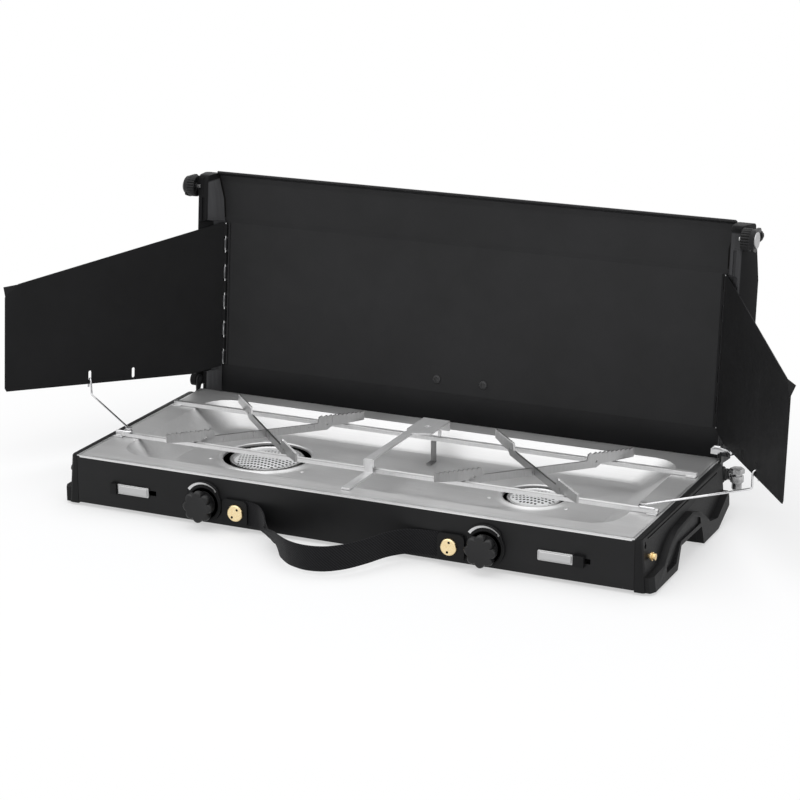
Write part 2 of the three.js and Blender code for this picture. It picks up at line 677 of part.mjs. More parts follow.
// ---- Carry strap: flat webbing, twisted once beside the left anchor and bowed out at the front.
function makeStrap() {
  const half = strapWidth / 2;
  const spread = anchorX / 115.3;
  const p = (x, y, z, wx, wy, wz) => (
    { c: [x * spread, y - halfY, z + anchorZ - 0.1], w: [wx, wy, wz] }
  );
  const keys = [
    p(-128, -1.1, 0, 0, 0, 1), p(-114, -1.1, 0, 0, 0, 1), p(-101, -1.15, 0, 0, 0, 1),
    p(-91, -3.6, -0.7, 0.03, -0.03, 1),
    p(-82, -9, -3.1, 0.2, -0.3, 0.9), p(-73, -17, -6.6, 0.38, -0.72, 0.5),
    p(-63, -28, -8.7, 0.42, -0.86, 0.24),
    p(-51, -42, -7.6, 0.36, -0.7, 0.6), p(-38, -57, -5.6, 0.18, -0.36, 0.9),
    p(-21, -71, -4.2, 0.05, -0.1, 1),
    p(-1, -78, -3.4, 0, 0, 1), p(18, -75, -3, 0, 0, 1), p(34, -62, -2.6, 0, 0, 1),
    p(47, -41, -2, 0, 0, 1), p(58, -19, -1.2, 0, 0, 1), p(72, -5.5, -0.5, 0, 0, 1),
    p(90, -1.7, -0.1, 0, 0, 1), p(101, -1.15, 0, 0, 0, 1), p(114, -1.1, 0, 0, 0, 1),
    p(128, -1.1, 0, 0, 0, 1),
  ];
  const places = keys.map((k) => new THREE.Vector3(...k.c));
  const centre = new THREE.CatmullRomCurve3(places, false, 'centripetal');
  const rings = [];
  const last = keys.length - 1;
  const steps = 44;
  for (let i = 0; i <= steps; i++) {
    const t = i / steps;
    const at = centre.getPoint(t);
    const along = centre.getTangent(t);
    const k = Math.min(last - 1, Math.floor(t * last));
    const f = t * last - k;
    const wide = new THREE.Vector3(...keys[k].w).lerp(new THREE.Vector3(...keys[k + 1].w), f);
    wide.addScaledVector(along, -wide.dot(along)).normalize();
    const thick = along.clone().cross(wide).normalize();
    const corner = (a, b) => {
      const q = at.clone().addScaledVector(wide, a * half).addScaledVector(thick, b * strapThick / 2);
      return [q.x, q.y, q.z];
    };
    rings.push([corner(-1, -1), corner(1, -1), corner(1, 1), corner(-1, 1)]);
  }
  let strap = skin(rings);
  for (const sign of [-1, 1]) {
    strap = strap.subtract(disc('y', 3.3, faceY - 8, faceY + 1, sign * anchorX, anchorZ, 20));
    strap = strap.subtract(disc('y', 20, faceY - 8, faceY + 1, sign * knobX, knobZ, 36));
  }
  return strap;
}
add('carry_strap', makeStrap(), 'webbing');

// ---- Lid: drawn upright about the lid frame (depth forward, height up the lid), then leaned back.
function onLid(body) {
  return body.rotate([-lidLean, 0, 0]).translate([0, lidBaseY, lidBaseZ]);
}
const pivotS = (() => {
  const dy = pivotY - lidBaseY;
  const dz = pivotZ - lidBaseZ;
  return {
    s: dy * Math.sin(lidLean * deg) + dz * Math.cos(lidLean * deg),
    d: -dy * Math.cos(lidLean * deg) + dz * Math.sin(lidLean * deg),
  };
})();
function makeLidShell() {
  const t = sheet;
  const outer = [
    [18, -20], [17.2, 4], [19, 5.2], [bandLow, 0], [bandHigh, 0], [bandHigh + 6, -0.8],
    [lidTop - 10, -3.6], [lidTop - 4, -5], [lidTop - 1.2, -lidLip], [lidTop + 0.4, -lidLip],
    [lidTop + 0.8, -lidLip + 1.6],
  ];
  const inner = [
    [lidTop - 1.6, -2], [lidTop - 6, -3.4 + t], [bandHigh + 7, t], [bandHigh, t], [bandLow, t],
    [20, 5.2 + t],
    [16, 5.2], [16.8, -20],
  ];
  const loop = outer.concat(inner).map(([s, y]) => [y, s]);
  const shell = side(loop, -lidHalf, lidHalf);
  return shell.subtract(box(lidHalf - 10, halfX + 5, -30, 3.6, 0, 34));
}
const lidScrewS = 64.9;
let lidShell = makeLidShell();
for (const sign of [-1, 1]) {
  lidShell = lidShell.subtract(disc('y', 2.4, -3, 5, sign * 26.9, lidScrewS, 16));
}
add('lid_shell', onLid(lidShell), 'blackSteel');

for (const [name, sign] of [['left', -1], ['right', 1]]) {
  const head = turned([[0, 0], [4.7, 0], [4.4, 0.8], [0, 1.3]], 16);
  let screw = head.rotate([90, 0, 0]).translate([sign * 26.9, -gap, lidScrewS]);
  screw = screw.add(disc('y', 2.1, -gap - 0.1, 4, sign * 26.9, lidScrewS, 12));
  const at = sign * 26.9;
  screw = screw.subtract(box(at - 0.5, at + 0.5, -2, -1.2, lidScrewS - 2.6, lidScrewS + 2.6));
  screw = screw.subtract(box(at - 2.6, at + 2.6, -2, -1.2, lidScrewS - 0.5, lidScrewS + 0.5));
  add(`lid_screw_${name}`, onLid(screw), 'blackSteel');
}

// ---- Moulded lid caps: slanted inner wing, flat front strip and a side that flares to the rear.
const lidCapIn = lidHalf + 0.6;
const lidCapFront = halfX + 7.4;
const lidCapRear = halfX + 17.5;
const lidCapDeep = 27.2;
const lugOut = halfX + 9;
const wingEdge = shieldHingeX + 2.3;
const latchS = lidTop - 15;
const latchD = 26.3;
const latchRadius = 11.6;
function makeLidCap() {
  const ring = (s, inner, edge, lift, deep, back) => [
    [lidCapIn, back, s], [lidCapIn, -lift, s], [edge, -lift, s], [edge + 0.2, -lift - 0.6, s],
    [inner, -deep + 1.2, s], [inner + 1.2, -deep, s], [lidCapFront - 1.3, -deep, s],
    [lidCapFront, -deep + 1.4, s], [lidCapRear, back - 3, s], [lidCapRear - 2.5, back, s],
  ];
  const lift = gap + 0.05;
  const shieldSide = lidCapFront - 3.2;
  const front = lidCapIn + 0.8;
  let wall = skin([
    ring(30, shieldSide, wingEdge, lift, lidCapDeep, 7),
    ring(bandHigh + 1.5, shieldSide, wingEdge, lift, lidCapDeep, 7),
    ring(bandHigh + 4.5, front, wingEdge, 0.7 + gap, lidCapDeep, 7),
    ring(lidTop - 30, front, wingEdge + 0.4, 2.3 + gap, lidCapDeep, 7),
    ring(lidTop - 10, front, lidCapIn - 1.8, 3.9 + gap, lidCapDeep, 7),
    ring(lidTop - 4, front, lidCapIn - 0.2, 5.3 + gap, lidCapDeep - 1, 7),
    ring(lidTop + 0.8, front, lidCapIn - 0.1, 9.6, 24, 4),
    ring(lidTop + 2.6, front, lidCapIn - 0.1, 10.5, 18, -2),
  ]);
  wall = wall.subtract(side([[20, 20], [-50, 20], [-50, 52], [20, 60]], wingEdge - 2, halfX + 2.7));
  const lower = [
    [lidCapIn, 7], [lidCapIn, -lift], [wingEdge, -lift], [wingEdge + 0.2, -lift - 0.6],
    [lidHalf + 0.2, -20], [lidHalf + 1.4, -21.5], [halfX - 0.2, -21.5], [halfX - 0.2, 7],
  ];
  const beside = [
    [lidCapIn, 7], [lidCapIn, -lift], [wingEdge, -lift], [wingEdge + 0.2, -lift - 0.6], [halfX - 0.2, -18.8],
    [halfX - 0.2, 7],
  ];
  wall = wall.add(plan(lower, 20.6, 45.6)).add(plan(beside, 45.5, 62));
  const boss = [[-25, -10.5], [-30.6, -9.8], [-31.6, -8], [-31.6, 7.5], [-30, 10], [-25, 10.5]]
    .map(([y, s]) => [y, latchS + s]);
  wall = wall.add(side(boss, lidCapFront - 6.6, lidCapFront));
  const outside = [
    [7, 30], [-pivotS.d, pivotS.s - 6.9], [-pivotS.d - 4, 58], [-50, 60], [-50, lidTop + 40],
    [20, lidTop + 40], [20, 30],
  ];
  const trimmed = side(outside, halfX + 2.6, lidCapRear + 1)
    .add(box(wingEdge - 2, halfX + 2.6, -50, 20, 20, lidTop + 40));
  const lug = disc('x', 6.9, halfX + 2.8, lugOut, -pivotS.d, pivotS.s, 24);
  wall = wall.intersect(trimmed).add(lug);
  const back = lidCapRear - 3;
  const low = [
    [front + 1.4, 9], [back, 9], [back, -0.5], [lidCapFront - 1, -22], [lidCapFront - 3, -22],
    [front + 1.4, -11],
  ];
  const high = [
    [front + 1.4, 9], [back, 9], [back, -0.5], [lidCapFront - 2, -24.4], [front + 2.6, -24.4],
    [front + 1.4, -21],
  ];
  wall = wall.subtract(plan(low, 64, bandHigh - 0.5))
    .subtract(plan(high, bandHigh + 5.5, lidTop - 30));
  wall = wall.subtract(box(lidCapFront - 8.2, lidCapFront - 5, -30, -25.6, bandHigh + 2.5, lidTop - 27));
  wall = wall.subtract(disc('x', latchRadius + 0.7, lidCapFront + 0.1, lidCapRear + 9, -latchD, latchS, 36));
  wall = wall.subtract(disc('x', pinRadius + 0.08, halfX, lidCapRear + 2, -pivotS.d, pivotS.s, 24));
  return wall.subtract(disc('x', 2.7, lidCapFront - 3.4, lidCapRear + 2, -latchD, latchS, 20));
}
const lidCap = onLid(makeLidCap());
add('lid_cap_right', lidCap, 'blackPlastic');
add('lid_cap_left', mirrored(lidCap), 'blackPlastic');

const hingePin = disc('x', pinRadius, halfX + 0.2, lugOut + 1, pivotY, pivotZ, 24)
  .add(disc('x', 4.4, lugOut + 0.3, lugOut + 2.1, pivotY, pivotZ, 24));
// The right pin runs on inwards to a bright domed bush above the tray corner.
const bush = turned([[0, 0], [2.6, 0.5], [4.1, 1.8], [4.6, 3.6], [4.6, 9.2], [0, 9.2]], 24)
  .rotate([0, 90, 0]).translate([halfX - 8.9, pivotY, pivotZ]);
add('lid_pin_right', hingePin.add(bush), 'chrome');
add('lid_pin_left', mirrored(hingePin), 'chrome');

// Lid latches: a ribbed round grip and lever turning on a screw through the cap.
const latchInner = lidCapFront + 0.5;
const latchOuter = latchInner + 13.4;
function makeLatch() {
  const y = -latchD;
  const outline = [];
  for (let i = 0; i < 48; i++) {
    const angle = i / 48 * Math.PI * 2;
    const r = latchRadius - 1.1 * Math.max(0, Math.cos(angle * 12));
    outline.push([y + r * Math.cos(angle), latchS + r * Math.sin(angle)]);
  }
  let latch = side(outline, latchInner, latchInner + 9.4);
  latch = latch.add(disc('x', 10.2, latchInner + 9.3, latchOuter, y, latchS, 32));
  const lever = [[y - 7, latchS - 10], [y + 4, latchS - 13], [y + 17, latchS + 2], [y + 19, latchS + 8],
    [y + 16, latchS + 11], [y - 2, latchS + 10]];
  latch = latch.add(side(lever, latchInner + 10.4, latchOuter - 0.4));
  return latch.subtract(disc('x', 2.58, latchInner - 1, latchOuter + 1, y, latchS, 20));
}
const latch = onLid(makeLatch());
add('lid_latch_right', latch, 'blackPlastic');
add('lid_latch_left', mirrored(latch), 'blackPlastic');
const latchScrew = onLid(disc('x', 2.5, lidCapFront - 3.1, latchOuter + 1, -latchD, latchS, 20)
  .add(disc('x', 8.3, latchOuter + 0.3, latchOuter + 1.6, -latchD, latchS, 28)));
add('latch_screw_right', latchScrew, 'chrome');
add('latch_screw_left', mirrored(latchScrew), 'chrome');

// ---- Wind shields on piano hinges along the lid's side bands.
const knuckles = 10;
const knuckleGap = 1.4;
const hingeLow = bandLow + 0.5;
const hingeHigh = bandHigh - 0.5;
const knuckleLength = (hingeHigh - hingeLow) / knuckles;
function knuckleRun(parity, radius) {
  const list = [];
  for (let i = parity; i < knuckles; i += 2) {
    const s = hingeLow + i * knuckleLength;
    list.push(disc('z', radius, s + knuckleGap, s + knuckleLength - knuckleGap, 0, 0, 10));
  }
  return list;
}
function makeLeaf() {
  let leaf = box(-4.4, 0.4, shieldHingeOut - gap - 0.8, shieldHingeOut - gap, hingeLow, hingeHigh);
  for (let i = 1; i < knuckles; i += 2) {
    const s = hingeLow + i * knuckleLength;
    leaf = leaf.subtract(box(-2.6, 1, -5, 5, s, s + knuckleLength));
  }
  leaf = leaf.add(union(knuckleRun(0, 1.85)).subtract(box(-3, 3, shieldHingeOut - gap, 9, 0, lidTop)));
  return leaf.subtract(disc('z', 0.98, 0, lidTop, 0, 0, 8));
}
// The free top corner is a finger tab bent outwards: outer is +1 or -1 along the plate's normal.
function makeShield(outer) {
  const end = shieldLength;
  const outline = [
    [2.6, 50.2], [40, 43.2], [end - 2, 39.6], [end, 43], [end, 141], [end - 15, 154.6], [30, 204.6],
    [2.6, 211],
  ];
  let plate = front(outline, -0.5, 0.5);
  const tabAt = (y) => [[end - 15.6, y, 154.2], [end - 0.6, y, 140.6], [end, y + outer * 4.1, 151.2]];
  plate = plate.add(skin([tabAt(-0.5), tabAt(0.5)]));
  for (const u of slotU) {
    plate = plate.subtract(front(roundedRect(1.7, 5.6, 1.65, 3, u, 50.1), -3, 3));
  }
  for (let i = 0; i < knuckles; i += 2) {
    const s = hingeLow + i * knuckleLength;
    plate = plate.subtract(box(0, 2.75, -5, 5, s - 0.3, s + knuckleLength + 0.3));
  }
  const tabs = [];
  for (let i = 1; i < knuckles; i += 2) {
    const s = hingeLow + i * knuckleLength;
    tabs.push(box(1, 3.6, -0.5, 0.5, s + knuckleGap, s + knuckleLength - knuckleGap));
  }
  plate = plate.add(union(tabs)).add(union(knuckleRun(1, 1.85)));
  return plate.subtract(disc('z', 0.98, 0, lidTop, 0, 0, 8));
}
for (const [name, sign] of [['left', -1], ['right', 1]]) {
  const place = (body) => onLid(body.translate([sign * shieldHingeX, -shieldHingeOut, 0]));
  const turn = sign > 0 ? -(90 - shieldAngle.right) : 180 + (90 - shieldAngle.left);
  const shield = makeShield(sign).rotate([0, 0, turn]);
  add(`wind_shield_${name}`, place(shield), 'blackSteel');
  const leaf = makeLeaf();
  add(`shield_hinge_${name}`, place(sign > 0 ? leaf : mirrored(leaf)), 'blackSteel');
  add(`shield_pin_${name}`, place(disc('z', 0.9, hingeLow, hingeHigh, 0, 0, 8)), 'chrome');
}

// ---- Wire stays: hairpin round a rail rivet, rising to a peg that faces the outer shield slot.
// The peg stops short of the shield, so that lid and shield can leave the stay behind.
function lidPoint(x, s, d) {
  const c = Math.cos(lidLean * deg);
  const n = Math.sin(lidLean * deg);
  return [x, lidBaseY + s * n - d * c, lidBaseZ + s * c + d * n];
}
const stayPivotY = frontRailY;
function makeStay(sign, angle) {
  const a = angle * deg;
  const u = slotU[1];
  const centreX = sign * (shieldHingeX + u * Math.sin(a));
  const inside = [-sign * Math.cos(a), -Math.sin(a)];
  const at = (s, out) => {
    const p = lidPoint(centreX, s, shieldHingeOut + u * Math.cos(a));
    return [p[0] + inside[0] * out, p[1] + inside[1] * out, p[2]];
  };
  const low = top + gap + railHeight + 0.6 + wireRadius;
  const bend = at(47, 3.3);
  bend[2] = top + 13;
  const inner = at(47.4, 3.3);
  const peg = at(47.8, 0.9 + gap);
  const radius = 1.9 + wireRadius + 0.25;
  const path = [[sign * (stayPivotX + 13), stayPivotY - radius, low]];
  for (let i = 0; i <= 5; i++) {
    const turn = (-90 - i * 32) * deg;
    path.push([sign * (stayPivotX + radius * Math.cos(turn)), stayPivotY + radius * Math.sin(turn), low]);
  }
  path.push(bend, inner, peg);
  return rod(path, wireRadius, 2.6, 6);
}
add('wire_stay_left', makeStay(-1, shieldAngle.left), 'chrome');
add('wire_stay_right', makeStay(1, shieldAngle.right), 'chrome');
export default group;
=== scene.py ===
import math

import bmesh
import bpy
from mathutils import Matrix, Vector


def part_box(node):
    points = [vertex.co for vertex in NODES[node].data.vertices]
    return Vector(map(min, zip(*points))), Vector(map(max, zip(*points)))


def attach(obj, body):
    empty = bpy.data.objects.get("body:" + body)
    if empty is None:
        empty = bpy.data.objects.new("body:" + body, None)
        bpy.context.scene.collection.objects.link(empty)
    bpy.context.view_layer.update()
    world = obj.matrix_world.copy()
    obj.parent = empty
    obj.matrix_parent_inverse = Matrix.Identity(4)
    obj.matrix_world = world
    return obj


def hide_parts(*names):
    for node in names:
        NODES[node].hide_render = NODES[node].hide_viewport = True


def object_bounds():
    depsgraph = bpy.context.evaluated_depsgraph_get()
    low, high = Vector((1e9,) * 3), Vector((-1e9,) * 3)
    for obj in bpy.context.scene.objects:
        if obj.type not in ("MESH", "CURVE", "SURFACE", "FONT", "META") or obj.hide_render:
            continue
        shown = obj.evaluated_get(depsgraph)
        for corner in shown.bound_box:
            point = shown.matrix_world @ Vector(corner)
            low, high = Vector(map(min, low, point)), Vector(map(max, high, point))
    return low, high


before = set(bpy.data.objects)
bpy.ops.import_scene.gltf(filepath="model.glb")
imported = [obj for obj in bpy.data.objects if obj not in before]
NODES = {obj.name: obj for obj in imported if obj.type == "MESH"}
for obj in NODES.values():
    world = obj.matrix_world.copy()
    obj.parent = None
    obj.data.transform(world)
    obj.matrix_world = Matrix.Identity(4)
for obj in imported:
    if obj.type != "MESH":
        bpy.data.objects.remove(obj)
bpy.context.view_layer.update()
MM = 0.001


def linked(name, data):
    """A new object in the scene."""
    obj = bpy.data.objects.new(name, data)
    bpy.context.scene.collection.objects.link(obj)
    return obj


def add_node(tree, kind, sockets, **settings):
    """A shader node; sockets maps each input to a plain value or to another node's output."""
    node = tree.nodes.new("ShaderNode" + kind)
    for key, value in settings.items():
        setattr(node, key, value)
    for key, value in sockets.items():
        if isinstance(value, bpy.types.NodeSocket):
            tree.links.new(value, node.inputs[key])
        else:
            node.inputs[key].default_value = value
    return node


# ---------------------------------------------------------------- camera
# Solved from the stove's own straight edges in the photograph.
AZIMUTH, ELEVATION, ROLL = (math.radians(angle) for angle in (24.99, 17.07, -0.22))
LOOK_AT = Vector((-0.00731, 0.02165, 0.10355))
DISTANCE = 2.49214
LENS, SENSOR = 110.50, 36.0


def make_camera():
    level = math.cos(ELEVATION)
    back = Vector((math.sin(AZIMUTH) * level, -math.cos(AZIMUTH) * level, math.sin(ELEVATION)))
    right = Vector((math.cos(AZIMUTH), math.sin(AZIMUTH), 0.0))
    up = back.cross(right)
    across = math.cos(ROLL) * right + math.sin(ROLL) * up
    upward = -math.sin(ROLL) * right + math.cos(ROLL) * up
    data = bpy.data.cameras.new("camera")
    data.lens = LENS
    data.sensor_width = SENSOR
    data.clip_end = 50.0
    cam = linked("camera", data)
    turn = Matrix((across, upward, back)).transposed().to_4x4()
    cam.matrix_world = Matrix.Translation(LOOK_AT + back * DISTANCE) @ turn
    bpy.context.scene.camera = cam


make_camera()


# ---------------------------------------------------------------- studio
WHITE = (1, 1, 1, 1)
SKY_COLOR = (0.97, 0.98, 1.0, 1)
SKY_LEVEL = 0.55
FLOOR_COLOR = (0.99, 0.99, 0.99, 1)
FLOOR_HALF = 6.0
# How much of the floor is the white of the page: PAGE_NEAR up to the first distance, all of it from the second on.
PAGE_NEAR = 0.52
PAGE_SPREAD = (0.32, 0.75)


def area_light(name, place, aim, size, power):
    data = bpy.data.lights.new(name, "AREA")
    data.shape = "RECTANGLE"
    data.size, data.size_y = size
    data.energy = power
    lamp = linked(name, data)
    lamp.location = place
    lamp.rotation_euler = (Vector(place) - Vector(aim)).to_track_quat("Z", "Y").to_euler()


def empty_tree(owner):
    owner.use_nodes = True
    owner.node_tree.nodes.clear()
    return owner.node_tree


def seen_directly(tree):
    """1 for camera, glossy and transmission rays, 0 for the rays that light the object."""
    path = add_node(tree, "LightPath", {})
    total = path.outputs["Is Camera Ray"]
    for name in ("Is Glossy Ray", "Is Transmission Ray"):
        total = add_node(tree, "Math", {0: total, 1: path.outputs[name]}, operation="MAXIMUM").outputs[0]
    return total


def mix_out(tree, kind, factor, lit, page):
    """End a tree with the lit shader and, by the factor, the white page."""
    mix = add_node(tree, "MixShader", {0: factor, 1: lit.outputs[0], 2: page.outputs[0]})
    add_node(tree, kind, {0: mix.outputs[0]})


def studio_world():
    world = bpy.data.worlds.new("studio")
    bpy.context.scene.world = world
    tree = empty_tree(world)
    sky = add_node(tree, "Background", {"Color": SKY_COLOR, "Strength": SKY_LEVEL})
    page = add_node(tree, "Background", {"Color": WHITE})
    mix_out(tree, "OutputWorld", seen_directly(tree), sky, page)


def studio_floor():
    """A pale floor that keeps the stove's shadow and turns into the white page further out."""
    mesh = bpy.data.meshes.new("floor")
    r = FLOOR_HALF
    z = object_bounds()[0][2]
    mesh.from_pydata([(-r, -r, z), (r, -r, z), (r, r, z), (-r, r, z)], [], [(0, 1, 2, 3)])
    floor = linked("floor", mesh)
    mat = bpy.data.materials.new("floor_white")
    tree = empty_tree(mat)
    lit = add_node(tree, "BsdfDiffuse", {"Color": FLOOR_COLOR})
    coord = add_node(tree, "TexCoord", {}).outputs["Object"]
    away = add_node(tree, "VectorMath", {0: coord}, operation="LENGTH").outputs["Value"]
    spread = add_node(tree, "MapRange", {"Value": away, "From Min": PAGE_SPREAD[0], "From Max": PAGE_SPREAD[1],
                                         "To Min": PAGE_NEAR, "To Max": 1.0}, interpolation_type="SMOOTHSTEP")
    level = add_node(tree, "Math", {0: seen_directly(tree), 1: spread.outputs["Result"]}, operation="MULTIPLY")
    page = add_node(tree, "Emission", {"Color": WHITE})
    mix_out(tree, "OutputMaterial", level.outputs[0], lit, page)
    mesh.materials.append(mat)


bpy.context.scene.view_settings.view_transform = "Standard"
studio_world()
studio_floor()
area_light("key", (-0.9, -1.0, 2.1), (0, 0, 0.05), (3.6, 2.6), 25)
area_light("top", (0.2, 0.3, 2.3), (0, 0, 0), (3.0, 2.4), 18)
area_light("side", (2.3, -0.6, 0.9), (0, 0, 0.1), (1.6, 1.6), 7)


# ---------------------------------------------------------------- materials
class Paint:
    """A node material under construction, in object coordinates (metres)."""

    def __init__(self, name, **sockets):
        self.mat = bpy.data.materials.new(name)
        self.mat.use_nodes = True
        self.tree = self.mat.node_tree
        self.bsdf = self.tree.nodes["Principled BSDF"]
        for key, value in sockets.items():
            self.bsdf.inputs[key.replace("_", " ")].default_value = value
        self.coord = add_node(self.tree, "TexCoord", {}).outputs["Object"]
        self.normal = None

    def wire(self, socket, value):
        self.tree.links.new(value, self.bsdf.inputs[socket])

    def scaled(self, scale):
        return add_node(self.tree, "Mapping", {"Vector": self.coord, "Scale": scale}).outputs["Vector"]

    def split(self, vector=None):
        """A vector's parts, the object coordinates' by default, under the names X, Y and Z."""
        return add_node(self.tree, "SeparateXYZ", {0: vector or self.coord}).outputs

    def noise(self, scale, detail=3.0, rough=0.5, vector=None):
        sockets = {"Vector": vector or self.coord, "Scale": scale, "Detail": detail, "Roughness": rough}
        return add_node(self.tree, "TexNoise", sockets).outputs["Fac"]

    def math(self, operation, *values):
        return add_node(self.tree, "Math", dict(enumerate(values)), operation=operation).outputs[0]

    def ramp(self, value, low, high, start=0.3, end=0.7):
        sockets = {"Value": value, "From Min": start, "From Max": end, "To Min": low, "To Max": high}
        return add_node(self.tree, "MapRange", sockets).outputs["Result"]

    def colors(self, value, first, second, start=0.3, end=0.7):
        node = add_node(self.tree, "ValToRGB", {"Fac": value})
        for stop, place, color in zip(node.color_ramp.elements, (start, end), (first, second)):
            stop.position = place
            stop.color = (*color, 1)
        self.wire("Base Color", node.outputs["Color"])

    def rough(self, value):
        self.wire("Roughness", value)

    def bump(self, value, strength, distance):
        """Add a relief; later ones lie on top of earlier ones."""
        node = add_node(self.tree, "Bump", {"Height": value, "Strength": strength, "Distance": distance})
        if self.normal:
            self.tree.links.new(self.normal, node.inputs["Normal"])
        self.normal = node.outputs["Normal"]
        self.wire("Normal", self.normal)


def painted_steel(name, dark, light, rough, shine):
    p = Paint(name, Metallic=0.0, Specular_IOR_Level=shine)
    p.colors(p.noise(14, 4, 0.6), (dark, dark, dark * 1.04), (light, light, light * 1.05))
    p.rough(p.ramp(p.noise(45, 3), rough - 0.04, rough + 0.05))
    p.bump(p.noise(1500, 2, 0.4), 0.16, 0.0002)
    p.bump(p.noise(260, 2), 0.05, 0.0004)
    return p.mat


def moulded(name, dark, light, rough, grain, shine):
    """Grained plastic, and dark screws."""
    p = Paint(name, Metallic=0.0, Specular_IOR_Level=shine)
    p.colors(p.noise(30, 3), (dark, dark, dark * 1.05), (light, light, light * 1.05))
    p.rough(p.ramp(p.noise(700, 3), rough - 0.06, rough + 0.08))
    p.bump(p.noise(2300, 3, 0.6), grain, 0.00012)
    return p.mat


def satin_steel(name, along, base, rough, streak=0.035, bump=0.02, sheet=0.0, metal=1.0):
    """Rolled or brushed stainless; sheet adds the slow waves of a pressed panel."""
    p = Paint(name, Metallic=metal)
    fine = p.noise(1.0, 4, 0.65, p.scaled(along))
    cloud = p.noise(9, 3, 0.5)
    tone = p.math("ADD", p.math("MULTIPLY", fine, 0.6), p.math("MULTIPLY", cloud, 0.4))
    low, high = base - streak, base + streak
    p.colors(tone, (low, low, low * 1.003), (high, high, high * 1.003), 0.35, 0.65)
    p.rough(p.ramp(tone, rough - 0.04, rough + 0.06, 0.35, 0.65))
    if sheet:
        p.bump(p.noise(7, 2, 0.4), sheet, 0.01)
    p.bump(fine, bump, 0.0001)
    return p.mat


def bright_steel(name):
    p = Paint(name, Metallic=1.0)
    p.colors(p.noise(160, 3), (0.60, 0.60, 0.61), (0.72, 0.72, 0.73))
    p.rough(p.ramp(p.noise(900, 3), 0.1, 0.22))
    p.bump(p.noise(1200, 2), 0.03, 0.0001)
    return p.mat


def turned_brass(name, first, second):
    p = Paint(name, Metallic=1.0)
    p.colors(p.noise(900, 3), first, second)
    p.rough(p.ramp(p.noise(700, 3), 0.2, 0.36))
    p.bump(p.noise(1400, 3), 0.06, 0.0001)
    return p.mat


def rubber(name):
    p = Paint(name, Metallic=0.0, Specular_IOR_Level=0.35)
    p.colors(p.noise(120, 3), (0.012, 0.012, 0.012), (0.022, 0.022, 0.022))
    p.rough(p.ramp(p.noise(500, 3), 0.7, 0.85))
    p.bump(p.noise(1500, 3), 0.25, 0.0002)
    return p.mat


# Near-black and rough: painted shade, laid where holes, gaps and the burners' insides fall into shadow.
def shade_black(name):
    p = Paint(name, Metallic=0.0, Specular_IOR_Level=0.1)
    p.colors(p.noise(300, 3), (0.004, 0.004, 0.004), (0.010, 0.009, 0.008))
    p.rough(p.ramp(p.noise(500, 2), 0.75, 0.9))
    p.bump(p.noise(900, 3), 0.3, 0.0003)
    return p.mat


# Metres in the shared frame: where the knuckle wear, the pin's bare bands and the painted light on the lid caps
# begin and end.
KNUCKLES_X = (0.2846, 0.2849)
PIN_TOP_Z, PIN_FOOT_Z = (0.2225, 0.2240), (0.0868, 0.0880)
WING_X, STRIP_X, STRIP_END_X, CAP_TOP_Z = (0.2952, 0.2958), (0.2958, 0.2964), (0.3070, 0.3076), (0.2785, 0.2800)


def knuckle_wear(p):
    """Rubbed on the knuckles, unevenly along the hinge."""
    knuckle = p.ramp(p.math("ABSOLUTE", p.split()["X"]), 0.0, 1.0, *KNUCKLES_X)
    rubbed = p.ramp(p.noise(1.0, 2.0, 0.6, p.scaled((8, 8, 150))), 0.25, 1.0, 0.42, 0.62)
    return p.math("MULTIPLY", knuckle, rubbed)


def pin_glint_bands(p):
    """Bare steel only near the two ends of the pin, where glints are to show; the dark along the rest is painted
    shade.
    """
    height = p.split()["Z"]
    return p.math("MAXIMUM", p.ramp(height, 0.0, 1.0, *PIN_TOP_Z), p.ramp(height, 1.0, 0.0, *PIN_FOOT_Z))


def wear_and_shade_steel(name, wear):
    """Dark steel that turns to bright metal where the mask says: wear on the hinge knuckles, and on the pin painted
    shade except in two bare bands.
    """
    p = Paint(name, Specular_IOR_Level=0.3)
    worn = wear(p)
    p.colors(worn, (0.008, 0.008, 0.009), (0.42, 0.42, 0.43), 0.0, 1.0)
    p.wire("Metallic", worn)
    p.rough(p.ramp(p.noise(900, 3), 0.24, 0.4))
    p.bump(p.noise(1500, 2), 0.1, 0.0001)
    return p.mat


def cap_painted_light(name):
    """Moulded black, with painted light: paler on the slanted wings and on the right cap's front strip, broken up in
    streaks.
    """
    p = Paint(name, Metallic=0.0, Specular_IOR_Level=0.06)
    place_in_frame = p.split()
    x, z = place_in_frame["X"], place_in_frame["Z"]
    wing = p.ramp(p.math("ABSOLUTE", x), 1.0, 0.0, *WING_X)
    strip = p.math("MULTIPLY", p.ramp(x, 0.0, 0.65, *STRIP_X), p.ramp(x, 1.0, 0.0, *STRIP_END_X))
    below_top = p.ramp(z, 1.0, 0.0, *CAP_TOP_Z)
    # Painted light: paler on the wings and the front strip, below the cap's top.
    pale = p.math("MULTIPLY", p.math("MAXIMUM", wing, strip), below_top)
    light_streaks = p.ramp(p.noise(1.0, 3, 0.5, p.scaled((260, 260, 26))), 0.75, 1.0)
    p.colors(p.math("MULTIPLY", pale, light_streaks), (0.012, 0.012, 0.0125), (0.085, 0.085, 0.088), 0.0, 1.0)
    p.rough(p.ramp(p.noise(700, 3), 0.44, 0.56))
    p.bump(p.noise(2300, 3, 0.6), 0.3, 0.00012)
    return p.mat


